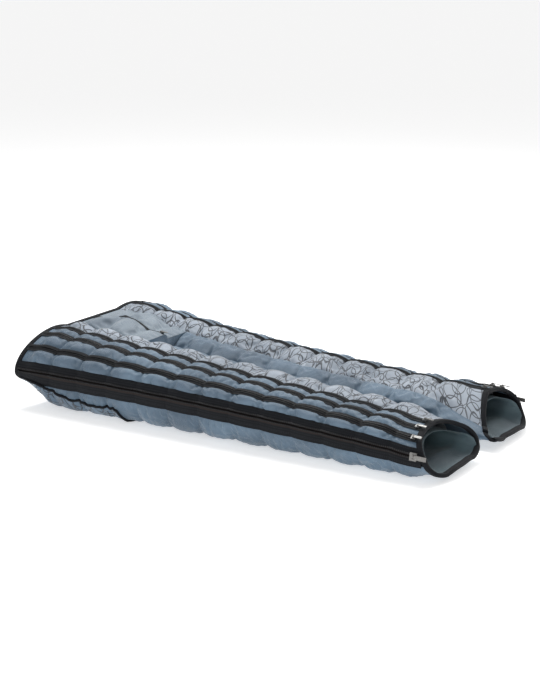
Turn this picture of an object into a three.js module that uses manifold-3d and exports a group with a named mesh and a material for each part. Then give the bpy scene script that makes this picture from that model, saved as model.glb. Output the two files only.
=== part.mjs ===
// Compression therapy trousers, lying on their back with the front side up and partly inflated.
// Two quilted leg tubes share one hip section. Each leg has a patterned front panel, plain back and inner
// panels, and three plain gussets between four zips on its outer side. Welded air bladders fill the wall
// between the outer shell and the lining, so a leg can be pushed in from the waist to the open foot end.
//
// Frame: millimetres, +Z up, +X from the waist to the feet, origin on the floor under the middle of the
// garment. The near leg is on the -Y side and the far leg on the +Y side.
import * as THREE from "three";
import { mergeVertices } from "three/addons/utils/BufferGeometryUtils.js";
import Module from "manifold-3d";

const wasm = await Module();
wasm.setup();

// Overall sizes.
const LENGTH = 1150; // waist binding to the sole end of the foot binding
const WAIST_WIDTH = 580;
const WAIST_HEIGHT = 176;
const FOOT_WIDTH = 212; // one leg at the foot end
const FOOT_HEIGHT = 102;
const LEG_GAP_WAIST = 20; // gap between the leg tubes, carried on to the waist
const LEG_GAP_FOOT = 60;
const RISE = 250; // waist to crotch
const WAIST_ROUNDNESS = { front: 1.8, back: 2.6 }; // 1 has sharp sides, 2 is an ellipse, more is fuller
const FOOT_ROUNDNESS = { front: 2.4, back: 2.6 };
const REST_FLAT = 6; // how far the resting side is pressed flat
const BEAK = { front: 12, back: 40 }; // how far the waist edge runs back from its side seams to its middle
const SOLE_REACH = 70; // how much further the sole side reaches than the instep side

// Wall layers, each counted inwards from the outer surface.
const SHELL = 3;
const BLADDER_OUT = 5;
const BLADDER_IN = 20;
const LINING_OUT = 22.5;
const LINING_IN = 24;
const WELD_DIP = 4; // depth of a weld line between two air cells
const CELLS = 5; // air cells in each leg bladder
const HIP_CELLS = 3;
const SEAM_TURN = 2; // from the front seam to the first fold line of the hip's inner layers, in degrees
const SLIT = 4; // half of the split in the bladders and the lining behind the main zip, in degrees
const SEAM_GAP = 0.6; // between two panels sewn edge to edge
const FIT_GAP = 0.4; // between pieces that lie on each other
const EDGE_GAP = 1.5; // between a cloth edge and its binding

// Edge bindings.
const BINDING = 5; // along the garment
const BINDING_PROUD = 1.5; // beyond the shell and the lining

// Where the seams run round a leg, in degrees up from its outermost line.
const FRONT_SEAM_WAIST = 112;
const FRONT_SEAM_FOOT = 134;
const BACK_SEAM = 256;

// Zips. A gauge of 1 is a light coil zip.
const NARROW = { tape: 20, gauge: 1 };
const WIDE = { tape: 40, gauge: 1.6 };
const ZIPS = [
  { name: "zip_a", angle: 86, size: NARROW },
  { name: "zip_b", angle: 67, size: NARROW },
  { name: "zip_c", angle: 42, size: NARROW },
  { name: "main_zip", angle: 5, size: WIDE },
];
const TAPE_THICKNESS = 1.4;
const TAPE_OVERLAP = 2.5; // tape edge over the panel beside it
const ZIP_END = 4; // from the end of the shell to the end of the zip
const STOP = 5; // length of the stop that joins the two tapes at the waist end
const SLOT = 3; // parting line between the coils, for the slider's neck
const COIL = { width: 2.2, height: 1.8 };
const SLIDER_PLAY = 0.8;
const SLIDER = { length: 10, halfWidth: 5.4, plate: 1.6, flange: 1, neck: 1.6, neckLength: 4 };
const EAR = { gap: 3.8, thickness: 1, length: 4, height: 3.4 };
const PIN_RADIUS = 0.7;
const PIN_HEIGHT = 2;
const PULL = { length: 20, width: 6, neck: 2.4, thickness: 1.2, eye: 1.6, eyeHole: 1.1 };

// Smaller parts.
const HIP_PATCH = { length: 300, low: -60, high: -15, thickness: 2, gap: 0.7 };
const INLET = { x: 365, length: 84, height: 30, thickness: 7, portRadius: 2.2, columns: 6, rows: 2, pitch: 12 };
const CENTRE_STATIONS = 3;

const NEAR = -1;
const FAR = 1;
const SIDES = [
  { side: NEAR, name: "near" },
  { side: FAR, name: "far" },
];

const fabric = (colour, roughness) => new THREE.MeshStandardMaterial({ color: colour, roughness, metalness: 0 });
const plainCloth = fabric(0x6e8397, 0.55);
const patternedCloth = fabric(0xa3b3c6, 0.5);
const liningCloth = fabric(0x4a585a, 0.7);
const bladderFilm = fabric(0x8b9499, 0.45);
const blackTape = fabric(0x23252a, 0.8);
const zipTape = fabric(0x2c2b2d, 0.75);
const blackPlastic = fabric(0x1c1d20, 0.4);
const sliderMetal = new THREE.MeshStandardMaterial({ color: 0xc9c8c4, roughness: 0.3, metalness: 0.9 });

const trousers = new THREE.Group();

// ---- Solids -------------------------------------------------------------------------------------

function addPiece(name, geometry, material, parent = trousers) {
  const mesh = new THREE.Mesh(geometry, material);
  mesh.name = name;
  parent.add(mesh);
  return mesh;
}

function signedVolume(points, triangles) {
  let volume = 0;
  for (const [a, b, c] of triangles) {
    volume += points[a].dot(points[b].clone().cross(points[c])) / 6;
  }
  return volume;
}

// A closed body through sections, each a loop of the same number of points. An open run of sections is
// capped with the flat outline's triangles, and a closed one joins its last section to its first.
function loft(sections, capOutline, closed = false) {
  const size = sections[0].length;
  const points = sections.flat();
  const triangles = [];
  const runs = closed ? sections.length : sections.length - 1;
  for (let i = 0; i < runs; i++) {
    const here = i * size;
    const next = ((i + 1) % sections.length) * size;
    for (let j = 0; j < size; j++) {
      const k = (j + 1) % size;
      triangles.push([here + j, here + k, next + k], [here + j, next + k, next + j]);
    }
  }
  if (!closed) {
    const last = (sections.length - 1) * size;
    for (const [a, b, c] of THREE.ShapeUtils.triangulateShape(capOutline, [])) {
      const turned = THREE.ShapeUtils.isClockWise(capOutline) ? [a, b, c] : [c, b, a];
      triangles.push(turned, turned.map((i) => i + last).reverse());
    }
    orientCaps(triangles, size, sections.length, capOutline);
  }
  if (signedVolume(points, triangles) < 0) triangles.forEach((t) => t.reverse());
  const geometry = new THREE.BufferGeometry().setFromPoints(points);
  geometry.setIndex(triangles.flat());
  return geometry;
}

// Turns both caps round if they don't run against the first wall triangle's edge.
function orientCaps(triangles, size, count, capOutline) {
  const wall = new Set();
  const walls = (count - 1) * size * 2;
  for (const [a, b, c] of triangles.slice(0, walls)) {
    wall.add(`${a},${b}`).add(`${b},${c}`).add(`${c},${a}`);
  }
  const caps = triangles.slice(walls);
  const clash = caps.some(([a, b, c]) => wall.has(`${a},${b}`) || wall.has(`${b},${c}`) || wall.has(`${c},${a}`));
  if (clash) caps.forEach((t) => t.reverse());
}

function solidOf(geometry) {
  const bare = geometry.clone();
  bare.deleteAttribute("normal");
  bare.deleteAttribute("uv");
  const merged = mergeVertices(bare, 1e-4);
  const triVerts = new Uint32Array(merged.index.array);
  return new wasm.Manifold(
    new wasm.Mesh({ numProp: 3, vertProperties: merged.attributes.position.array, triVerts }),
  );
}

function geometryOf(solid) {
  const mesh = solid.getMesh();
  const geometry = new THREE.BufferGeometry();
  geometry.setAttribute("position", new THREE.BufferAttribute(mesh.vertProperties, 3));
  geometry.setIndex(new THREE.BufferAttribute(mesh.triVerts, 1));
  return geometry;
}

const join = (...geometries) => geometryOf(geometries.map(solidOf).reduce((all, next) => all.add(next)));
const cut = (body, tool) => geometryOf(solidOf(body).subtract(solidOf(tool)));

// A box between two corners of the local frame.
function block(x0, x1, y0, y1, z0, z1) {
  return new THREE.BoxGeometry(x1 - x0, y1 - y0, z1 - z0).translate((x0 + x1) / 2, (y0 + y1) / 2, (z0 + z1) / 2);
}

// ---- The leg's outer surface --------------------------------------------------------------------

const { lerp, degToRad } = THREE.MathUtils;
const WAIST_X = -LENGTH / 2;
const FOOT_X = LENGTH / 2;

// A leg's outline at its waist end and at its foot end, seen along X. Every line that runs from the waist
// to the foot at one angle round the leg is straight, and so is every zip.
const rims = [
  {
    inner: LEG_GAP_WAIST / 2,
    outer: WAIST_WIDTH / 2 - BINDING_PROUD,
    height: WAIST_HEIGHT - BINDING_PROUD,
    roundness: WAIST_ROUNDNESS,
  },
  {
    inner: LEG_GAP_FOOT / 2,
    outer: LEG_GAP_FOOT / 2 + FOOT_WIDTH - BINDING_PROUD,
    height: FOOT_HEIGHT - BINDING_PROUD,
    roundness: FOOT_ROUNDNESS,
  },
];

// The height of a leg's middle at a place along it.
const middleHeight = (x) => lerp(rims[0].height, rims[1].height, (x - WAIST_X) / LENGTH) / 2;

function rimPoint({ inner, outer, height, roundness }, angle, depth) {
  const sine = Math.sin(degToRad(angle));
  const fullness = sine >= 0 ? roundness.front : roundness.back;
  const powered = (value) => Math.sign(value) * Math.abs(value) ** (2 / fullness);
  const half = height / 2;
  const out = powered(Math.cos(degToRad(angle)));
  const up = powered(sine);
  const rise = up >= 0 ? half - depth : half + REST_FLAT - depth;
  return {
    out: (inner + outer) / 2 + ((outer - inner) / 2 - depth) * out,
    high: up >= 0 ? half + rise * up : Math.max(half + rise * up, depth, 0),
  };
}

// A point of a leg, at an angle round it and a depth under its outer surface.
function skin(side, x, angle, depth) {
  const t = (x - WAIST_X) / LENGTH;
  const [waist, foot] = rims.map((rim) => rimPoint(rim, angle, depth));
  return new THREE.Vector3(x, side * lerp(waist.out, foot.out, t), lerp(waist.high, foot.high, t));
}

// The angle that a distance along the surface takes up, at that place.
function angleOf(distance, x, angle) {
  const step = 0.5;
  const run = skin(FAR, x, angle + step, 0).distanceTo(skin(FAR, x, angle - step, 0));
  return (distance * 2 * step) / run;
}

const outward = (side, x, angle) => {
  const along = skin(side, x, angle + 0.5, 0).sub(skin(side, x, angle - 0.5, 0));
  return new THREE.Vector3(0, side * along.z, -side * along.y).normalize();
};

const frontSeam = (x) => lerp(FRONT_SEAM_WAIST, FRONT_SEAM_FOOT, (x - WAIST_X) / LENGTH);
const backSeam = () => BACK_SEAM;
const besideZip = (zip, way) => (x) =>
  zip.angle + way * angleOf(zip.size.tape / 2 - TAPE_OVERLAP, x, zip.angle);
const besideSeam = (seam, way) => (x) => seam(x) + way * angleOf(SEAM_GAP / 2, x, seam(x));

// Where the cloth ends: the waist edge comes to a beak at its sides, and the sole reaches past the instep.
const waistEnd = (inset) => (angle) => {
  const sine = Math.sin(degToRad(angle));
  const beak = sine >= 0 ? BEAK.front : BEAK.back;
  return WAIST_X + BINDING + EDGE_GAP + beak * sine ** 2 + inset;
};
const footEnd = (inset) => (angle) =>
  FOOT_X - BINDING - EDGE_GAP - (SOLE_REACH / 2) * (1 + Math.sin(degToRad(angle))) - inset;
const crotchX = WAIST_X + RISE;
const level = (x) => () => x;

// ---- Strips of wall -----------------------------------------------------------------------------

// Stations carry the wall round the garment. Each one gives a point for a place along X and a depth.
function legStations(side, fromAngle, toAngle, count) {
  return Array.from({ length: count + 1 }, (_, i) => {
    const angleAt = (x) => lerp(fromAngle(x), toAngle(x), i / count);
    return { angleAt, at: (x, depth) => skin(side, x, angleAt(x), depth) };
  });
}

// The front of the hip between the legs lies level with the front seams.
function centreFrontStations(side, fromEdge, toShare, count) {
  return Array.from({ length: count + 1 }, (_, i) => {
    const at = (x, depth) => {
      const seam = skin(side, x, frontSeam(x), 0);
      const reach = lerp(fromEdge, toShare * Math.abs(seam.y) - SEAM_GAP, i / count);
      return new THREE.Vector3(x, side * reach, seam.z - depth);
    };
    return { angleAt: frontSeam, at };
  });
}

function centreBackStations(side, fromShare, toShare, count) {
  return Array.from({ length: count + 1 }, (_, i) => {
    const at = (x, depth) => {
      const seam = skin(side, x, backSeam(), 0);
      const reach = lerp(fromShare, toShare, i / count) * (Math.abs(seam.y) - SEAM_GAP);
      return new THREE.Vector3(x, side * reach, Math.max(depth, 0));
    };
    return { angleAt: backSeam, at };
  });
}

// A wall over the stations, from one end to the other, between two depths. The outer depth may change
// along the wall, as the cells of a bladder do.
function wall({ stations, from, to, outer, inner, steps = 4, innerSteps = 4, closed = false }) {
  const depthAt = typeof outer === "function" ? outer : () => outer;
  const place = (station, share) => {
    let x = lerp(from(0), to(0), share);
    for (let i = 0; i < 4; i++) {
      const angle = station.angleAt(x);
      x = lerp(from(angle), to(angle), share);
    }
    return x;
  };
  const outerShares = Array.from({ length: steps + 1 }, (_, i) => i / steps);
  const innerShares = Array.from({ length: innerSteps + 1 }, (_, i) => 1 - i / innerSteps);
  const sections = stations.map((station) => [
    ...outerShares.map((share) => station.at(place(station, share), depthAt(share))),
    ...innerShares.map((share) => station.at(place(station, share), inner)),
  ]);
  const flat = [
    ...outerShares.map((share) => new THREE.Vector2(share * LENGTH, -depthAt(share))),
    ...innerShares.map((share) => new THREE.Vector2(share * LENGTH, -inner)),
  ];
  return loft(sections, flat, closed);
}

const cellDepth = (cells) => (share) => BLADDER_OUT + WELD_DIP * (1 + Math.cos(2 * Math.PI * cells * share)) / 2;

// ---- Legs ---------------------------------------------------------------------------------------

const [zipA, zipB, zipC, mainZip] = ZIPS;
const wholeLeg = { from: waistEnd(0), to: footEnd(0), outer: 0, inner: SHELL };
const lowerTurn = (edge) => (x) => edge(x) + 360;

function addLegPanels({ side, name }) {
  const panel = (piece, fromAngle, toAngle, count, material, more = {}) => {
    const stations = legStations(side, fromAngle, toAngle, count);
    addPiece(`${name}_${piece}`, wall({ stations, ...wholeLeg, ...more }), material);
  };
  panel("front_panel", besideZip(zipA, 1), besideSeam(frontSeam, -1), 5, patternedCloth);
  panel("upper_gusset", besideZip(zipB, 1), besideZip(zipA, -1), 2, plainCloth);
  panel("middle_gusset", besideZip(zipC, 1), besideZip(zipB, -1), 3, plainCloth);
  panel("lower_gusset", besideZip(mainZip, 1), besideZip(zipC, -1), 4, plainCloth);
  panel("back_panel", besideSeam(backSeam, 1), lowerTurn(besideZip(mainZip, -1)), 12, plainCloth);
  panel("inner_panel", besideSeam(frontSeam, 1), besideSeam(backSeam, -1), 10, plainCloth, {
    from: level(crotchX + SHELL + SEAM_GAP),
  });
  const low = (x) => 360 + HIP_PATCH.low;
  const high = (x) => 360 + HIP_PATCH.high;
  panel("hip_patch", low, high, 8, patternedCloth, {
    from: waistEnd(ZIP_END),
    to: level(WAIST_X + HIP_PATCH.length),
    outer: -HIP_PATCH.gap - HIP_PATCH.thickness,
    inner: -HIP_PATCH.gap,
  });
}

function addLegWall({ side, name }) {
  const round = legStations(side, () => mainZip.angle + SLIT, () => mainZip.angle + 360 - SLIT, 20);
  const middle = (crotchX + FOOT_X - SOLE_REACH / 2) / 2;
  const bladder = { stations: round, outer: cellDepth(CELLS), inner: BLADDER_IN, steps: 2 * CELLS, innerSteps: 2 };
  const upper = { from: level(crotchX + SHELL), to: level(middle - SEAM_GAP) };
  const lower = { from: level(middle + SEAM_GAP), to: footEnd(ZIP_END) };
  addPiece(`${name}_thigh_bladder`, wall({ ...bladder, ...upper }), bladderFilm);
  addPiece(`${name}_calf_bladder`, wall({ ...bladder, ...lower }), bladderFilm);
  const lining = { from: level(crotchX + SHELL), to: footEnd(0), outer: LINING_OUT, inner: LINING_IN };
  addPiece(`${name}_leg_lining`, wall({ stations: round, ...lining, steps: 2, innerSteps: 2 }), liningCloth);
  const hoop = legStations(side, () => 0, () => 360, 24).slice(0, -1);
  const edge = { from: footEnd(-EDGE_GAP), to: footEnd(-EDGE_GAP - BINDING), steps: 1, innerSteps: 1 };
  const depths = { outer: -BINDING_PROUD, inner: LINING_IN + BINDING_PROUD };
  addPiece(`${name}_foot_binding`, wall({ stations: hoop, ...edge, ...depths, closed: true }), blackTape);
}

// ---- Hip ----------------------------------------------------------------------------------------

const flyZip = { name: "fly_zip", size: NARROW };
const flyEdge = NARROW.tape / 2 - TAPE_OVERLAP;
const hipFront = { from: waistEnd(0), to: level(crotchX) };

// One side of the hip, from the fly round to the middle of the back. Its front and back halves part at
// the main zip.
const bellyStations = (side) => [
  ...centreFrontStations(side, flyEdge, 1, CENTRE_STATIONS),
  ...legStations(side, (x) => frontSeam(x) - SEAM_TURN, () => mainZip.angle + SLIT, 9),
];
const seatStations = (side) => [
  ...legStations(side, () => mainZip.angle - SLIT, () => BACK_SEAM - 360, 9),
  ...centreBackStations(side, 0.8, 0, CENTRE_STATIONS),
];

function bothSides(stationsOf) {
  return [...stationsOf(NEAR), ...stationsOf(FAR).reverse().slice(1)];
}

function addHip() {
  const air = { from: waistEnd(ZIP_END), to: level(crotchX - SEAM_GAP), inner: BLADDER_IN };
  const cells = { outer: cellDepth(HIP_CELLS), steps: 2 * HIP_CELLS, innerSteps: 2 };
  for (const { side, name } of SIDES) {
    const front = centreFrontStations(side, flyEdge, 1, CENTRE_STATIONS);
    addPiece(`${name}_centre_panel`, wall({ stations: front, ...hipFront, outer: 0, inner: SHELL }), plainCloth);
    addPiece(`${name}_abdomen_bladder`, wall({ stations: bellyStations(side), ...air, ...cells }), bladderFilm);
  }
  addPiece("seat_bladder", wall({ stations: bothSides(seatStations), ...air, ...cells }), bladderFilm);

  const back = [
    ...centreBackStations(NEAR, 1, 0, CENTRE_STATIONS),
    ...centreBackStations(FAR, 0, 1, CENTRE_STATIONS).slice(1),
  ];
  addPiece("centre_back_panel", wall({ stations: back, ...hipFront, outer: 0, inner: SHELL }), plainCloth);

  const round = bothSides((side) => [...bellyStations(side), ...seatStations(side)]);
  const lining = { from: waistEnd(0), to: level(crotchX - SEAM_GAP), outer: LINING_OUT, inner: LINING_IN };
  addPiece("hip_lining", wall({ stations: round, ...lining, steps: 2, innerSteps: 2 }), liningCloth);
  const edge = { from: waistEnd(-EDGE_GAP - BINDING), to: waistEnd(-EDGE_GAP), steps: 1, innerSteps: 1 };
  const depths = { outer: -BINDING_PROUD, inner: LINING_IN + BINDING_PROUD };
  addPiece("waist_binding", wall({ stations: round, ...edge, ...depths }), blackTape);
}

// The saddle of cloth that closes the gap between the legs at the crotch.
function addCrotch() {
  const x = crotchX + SHELL;
  const count = 12;
  const edge = Array.from({ length: count + 1 }, (_, i) => {
    const p = skin(FAR, x, lerp(frontSeam(x), BACK_SEAM, i / count), -SEAM_GAP);
    return new THREE.Vector2(p.y, Math.max(p.z, 0));
  });
  const outline = [...edge, ...edge.map((p) => new THREE.Vector2(-p.x, p.y)).reverse()];
  const saddle = new THREE.ExtrudeGeometry(new THREE.Shape(outline), { depth: SHELL, bevelEnabled: false, steps: 1 });
  // The outline's X and Y become the garment's Y and Z, and its depth runs along X.
  saddle.applyMatrix4(
    new THREE.Matrix4().makeBasis(
      new THREE.Vector3(0, 1, 0),
      new THREE.Vector3(0, 0, 1),
      new THREE.Vector3(1, 0, 0),
    ),
  );
  addPiece("crotch_gusset", saddle.translate(crotchX + SEAM_GAP, 0, 0), plainCloth);
}

// ---- Zips ---------------------------------------------------------------------------------------

const slotOf = (gauge) => (SLOT * gauge) / 2;
const heights = (gauge) => {
  const tape = FIT_GAP;
  const coil = tape + TAPE_THICKNESS;
  const top = coil + COIL.height * gauge;
  return { tape, coil, top };
};

// One tape with its coil. The section's first axis runs across the zip and its second one outwards.
function tapeOutline(size, way) {
  const { tape, coil, top } = heights(size.gauge);
  const inner = slotOf(size.gauge);
  const coilEdge = inner + COIL.width * size.gauge;
  const outer = size.tape / 2;
  const outline = [
    [inner, tape],
    [outer, tape],
    [outer, coil],
    [coilEdge, coil],
    [coilEdge, top],
    [inner, top],
  ];
  return outline.map(([across, out]) => new THREE.Vector2(way * across, out));
}

// Both tapes and the stop that joins them, between two frames at the ends of the zip's line.
function chain(size, start, end) {
  const tapes = [-1, 1].map((way) => {
    const outline = tapeOutline(size, way);
    const sections = [start, end].map((frame) => outline.map((p) => frame.at(p.x, p.y)));
    return loft(sections, outline);
  });
  const { tape, top } = heights(size.gauge);
  const reach = slotOf(size.gauge) + (COIL.width * size.gauge) / 2;
  const outline = [
    [-reach, tape],
    [reach, tape],
    [reach, top],
    [-reach, top],
  ].map(([across, out]) => new THREE.Vector2(across, out));
  const along = end.origin.clone().sub(start.origin).normalize().multiplyScalar(STOP);
  const near = outline.map((p) => start.at(p.x, p.y));
  const stop = loft([near, near.map((p) => p.clone().add(along))], outline);
  return join(...tapes, stop);
}

// The slider's own frame: X along the zip towards the feet, Z outwards.
function sliderGeometry(gauge) {
  const { tape, coil, top } = heights(gauge);
  const play = SLIDER_PLAY;
  const half = (SLIDER.length * gauge) / 2;
  const width = SLIDER.halfWidth * gauge;
  const under = tape - play;
  const over = top + play;
  const lid = over + SLIDER.plate * gauge;
  const neck = (SLIDER.neck * gauge) / 2;
  const neckHalf = (SLIDER.neckLength * gauge) / 2;
  const flangeIn = width - SLIDER.flange * gauge;
  const earIn = (EAR.gap * gauge) / 2;
  const earOut = earIn + EAR.thickness * gauge;
  const earHalf = (EAR.length * gauge) / 2;
  const earTop = lid + EAR.height * gauge;
  const sink = 0.2;
  const pin = new THREE.CylinderGeometry(PIN_RADIUS * gauge, PIN_RADIUS * gauge, 2 * earOut, 8);
  return join(
    block(-half, half, -width, width, under - SLIDER.plate, under),
    block(-neckHalf, neckHalf, -neck, neck, under - sink, over + sink),
    block(-half, half, -width, width, over, lid),
    block(-half, half, flangeIn, width, coil + play, over + sink),
    block(-half, half, -width, -flangeIn, coil + play, over + sink),
    block(-earHalf, earHalf, earIn, earOut, lid - sink, earTop),
    block(-earHalf, earHalf, -earOut, -earIn, lid - sink, earTop),
    pin.translate(0, 0, lid + PIN_HEIGHT * gauge),
  );
}

const pinHeight = (gauge) =>
  heights(gauge).top + SLIDER_PLAY + (SLIDER.plate + PIN_HEIGHT) * gauge;

// The pull's own frame has its origin on the pin and lies along the zip towards the feet.
function pullGeometry(gauge) {
  const neck = (PULL.neck * gauge) / 2;
  const eye = new THREE.CylinderGeometry(PULL.eye * gauge, PULL.eye * gauge, 2 * neck, 10);
  const hole = new THREE.CylinderGeometry(PULL.eyeHole * gauge, PULL.eyeHole * gauge, 4 * neck, 8);
  const thick = (PULL.thickness * gauge) / 2;
  const wide = (PULL.width * gauge) / 2;
  const shoulder = (EAR.length * gauge) / 2 + SLIDER_PLAY;
  const sink = 0.2;
  const body = join(
    eye,
    block((PULL.eyeHole + sink) * gauge, shoulder + sink, -neck, neck, -thick, thick),
    block(shoulder, PULL.length * gauge, -wide, wide, -thick, thick),
  );
  return cut(body, hole);
}

// A zip's chain, slider and pull on a line between two points, with the surface's outward direction at
// each end. The slider stands at the foot end.
function addZip(name, size, start, end, outStart, outEnd) {
  const frameAt = (origin, out) => {
    const across = new THREE.Vector3(0, out.z, -out.y);
    const at = (u, v) => origin.clone().addScaledVector(across, u).addScaledVector(out, v);
    return { origin, at };
  };
  addPiece(name, chain(size, frameAt(start, outStart), frameAt(end, outEnd)), zipTape);

  const along = end.clone().sub(start).normalize();
  const mean = outStart.clone().add(outEnd);
  const out = mean.addScaledVector(along, -mean.dot(along)).normalize();
  const carriage = new THREE.Group();
  carriage.quaternion.setFromRotationMatrix(
    new THREE.Matrix4().makeBasis(along, out.clone().cross(along), out),
  );
  const back = SLIDER.length * size.gauge;
  carriage.position.copy(end).addScaledVector(along, -back);
  trousers.add(carriage);
  addPiece(`${name}_slider`, sliderGeometry(size.gauge), sliderMetal, carriage);
  const pull = addPiece(`${name}_pull`, pullGeometry(size.gauge), sliderMetal, carriage);
  pull.position.z = pinHeight(size.gauge);
}

function addLegZips({ side, name }) {
  for (const zip of ZIPS) {
    const startX = waistEnd(ZIP_END)(zip.angle);
    const endX = footEnd(ZIP_END)(zip.angle);
    addZip(
      `${name}_${zip.name}`,
      zip.size,
      skin(side, startX, zip.angle, 0),
      skin(side, endX, zip.angle, 0),
      outward(side, startX, zip.angle),
      outward(side, endX, zip.angle),
    );
  }
}

function addFlyZip() {
  const at = (x) => new THREE.Vector3(x, 0, skin(FAR, x, frontSeam(x), 0).z);
  const start = at(waistEnd(ZIP_END)(FRONT_SEAM_WAIST));
  const end = at(crotchX - ZIP_END);
  const up = new THREE.Vector3(0, 0, 1);
  addZip(flyZip.name, flyZip.size, start, end, up, up);
}

// ---- Air inlets ---------------------------------------------------------------------------------

// A moulded plate on the inner side of each leg, with one port for each air cell.
function addInlet({ side, name }) {
  const { x, length, height, thickness, portRadius, columns, rows, pitch } = INLET;
  const plate = new THREE.Shape();
  const corner = height / 4;
  plate.moveTo(-length / 2 + corner, -height / 2);
  plate.lineTo(length / 2 - corner, -height / 2);
  plate.lineTo(length / 2, -height / 2 + corner);
  plate.lineTo(length / 2, height / 2 - corner);
  plate.lineTo(length / 2 - corner, height / 2);
  plate.lineTo(-length / 2 + corner, height / 2);
  plate.lineTo(-length / 2, height / 2 - corner);
  plate.lineTo(-length / 2, -height / 2 + corner);
  plate.closePath();
  for (let column = 0; column < columns; column++) {
    for (let row = 0; row < rows; row++) {
      const port = new THREE.Path();
      const u = (column - (columns - 1) / 2) * pitch;
      const v = (row - (rows - 1) / 2) * pitch;
      port.absarc(u, v, portRadius, 0, 2 * Math.PI, true);
      plate.holes.push(port);
    }
  }
  const body = new THREE.ExtrudeGeometry(plate, { depth: thickness, bevelEnabled: false, curveSegments: 6 });
  body.rotateX(Math.PI / 2);
  const face = skin(FAR, x - length / 2, 180, 0).y - FIT_GAP;
  // The plate's back lies on the leg's inner side, and its front faces the other leg.
  const far = side === FAR ? face : -face + thickness;
  addPiece(`${name}_air_inlet`, body.translate(x, far, middleHeight(x)), blackPlastic);
}

// ---- Assembly -----------------------------------------------------------------------------------

for (const leg of SIDES) {
  addLegPanels(leg);
  addLegWall(leg);
  addLegZips(leg);
  addInlet(leg);
}
addHip();
addCrotch();
addFlyZip();

export default trousers;
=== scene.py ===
"""Looks for a pair of air compression trousers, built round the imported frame.

Lengths are in metres in the frame's own axes. X runs from the waist to the feet, Z is up, and the near leg
lies on the -Y side. Angles run round a leg in degrees, up from its outermost line.
"""

import logging
import math
from dataclasses import dataclass, field
from enum import Enum
from typing import Callable, Sequence, Union

import bpy
import numpy as np
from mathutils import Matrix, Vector


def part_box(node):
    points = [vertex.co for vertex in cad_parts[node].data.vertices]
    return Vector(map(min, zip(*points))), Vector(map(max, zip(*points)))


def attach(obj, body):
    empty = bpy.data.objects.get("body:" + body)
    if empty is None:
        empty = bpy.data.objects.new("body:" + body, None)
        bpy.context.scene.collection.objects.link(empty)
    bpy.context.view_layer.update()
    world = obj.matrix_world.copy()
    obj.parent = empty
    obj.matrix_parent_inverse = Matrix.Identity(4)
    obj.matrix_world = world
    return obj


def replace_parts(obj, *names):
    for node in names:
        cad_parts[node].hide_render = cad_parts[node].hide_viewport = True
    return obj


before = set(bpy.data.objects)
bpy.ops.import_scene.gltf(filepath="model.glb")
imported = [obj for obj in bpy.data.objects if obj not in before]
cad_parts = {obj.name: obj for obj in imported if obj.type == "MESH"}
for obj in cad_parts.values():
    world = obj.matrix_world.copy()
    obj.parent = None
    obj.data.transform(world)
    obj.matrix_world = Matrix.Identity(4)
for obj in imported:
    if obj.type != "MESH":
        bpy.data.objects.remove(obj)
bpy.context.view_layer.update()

LOG = logging.getLogger("trousers")
GARMENT = "garment"

Piece = bpy.types.Object
Material = bpy.types.Material
Array = np.ndarray
Colour = tuple[float, float, float, float]
Reach = Union[Array, float]
Along = Callable[[Array], Array]


class Side(Enum):
    """The two legs, by the sign of Y that each lies on."""

    NEAR = -1
    FAR = 1

    @property
    def label(self) -> str:
        """The leg's name, as the frame's nodes have it."""
        return self.name.lower()


class Slot(Enum):
    """The record's material slots."""

    PLAIN = "plain_nylon"
    PATTERNED = "patterned_nylon"
    LINING = "dark_lining"
    FILM = "bladder_film"
    BINDING = "black_binding"
    TAPE = "zip_tape"
    METAL = "zip_metal"
    PLASTIC = "black_plastic"


# ---- Shader graphs ------------------------------------------------------------------------------


class Wire:
    """One output in a material's graph, with arithmetic on values."""

    def __init__(self, bench: "Bench", socket: bpy.types.NodeSocket) -> None:
        """Wraps a socket."""
        self.bench = bench
        self.socket = socket

    def _math(self, operation: str, *values: "Value") -> "Wire":
        """Adds one Math node."""
        return self.bench.node("ShaderNodeMath", {"operation": operation}, dict(enumerate(values)))

    def __add__(self, other: "Value") -> "Wire":
        """self + other."""
        return self._math("ADD", self, other)

    __radd__ = __add__

    def __sub__(self, other: "Value") -> "Wire":
        """self - other."""
        return self._math("SUBTRACT", self, other)

    def __rsub__(self, other: "Value") -> "Wire":
        """other - self."""
        return self._math("SUBTRACT", other, self)

    def __mul__(self, other: "Value") -> "Wire":
        """self * other."""
        return self._math("MULTIPLY", self, other)

    __rmul__ = __mul__

    def __truediv__(self, other: "Value") -> "Wire":
        """self / other."""
        return self._math("DIVIDE", self, other)

    def __rtruediv__(self, other: "Value") -> "Wire":
        """other / self."""
        return self._math("DIVIDE", other, self)

    def __pow__(self, other: "Value") -> "Wire":
        """self to a power."""
        return self._math("POWER", self, other)

    def __rpow__(self, other: "Value") -> "Wire":
        """other to the power of self."""
        return self._math("POWER", other, self)

    def __abs__(self) -> "Wire":
        """The value without its sign."""
        return self._math("ABSOLUTE", self)

    def sine(self) -> "Wire":
        """The sine of a value in radians."""
        return self._math("SINE", self)

    def fraction(self) -> "Wire":
        """The part after the decimal point."""
        return self._math("FRACT", self)

    def at_least(self, other: "Value") -> "Wire":
        """The larger of two values."""
        return self._math("MAXIMUM", self, other)

    def step(self, low: float, high: float) -> "Wire":
        """Goes smoothly from 0 at low to 1 at high."""
        settings = {"interpolation_type": "SMOOTHSTEP"}
        inputs = {"Value": self, "From Min": low, "From Max": high}
        return self.bench.node("ShaderNodeMapRange", settings, inputs)

    def line(self, width: float) -> "Wire":
        """1 where the value is close to zero, within width, and 0 elsewhere."""
        return 1 - abs(self).step(width * 0.55, width)


Value = Union[Wire, float]


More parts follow.
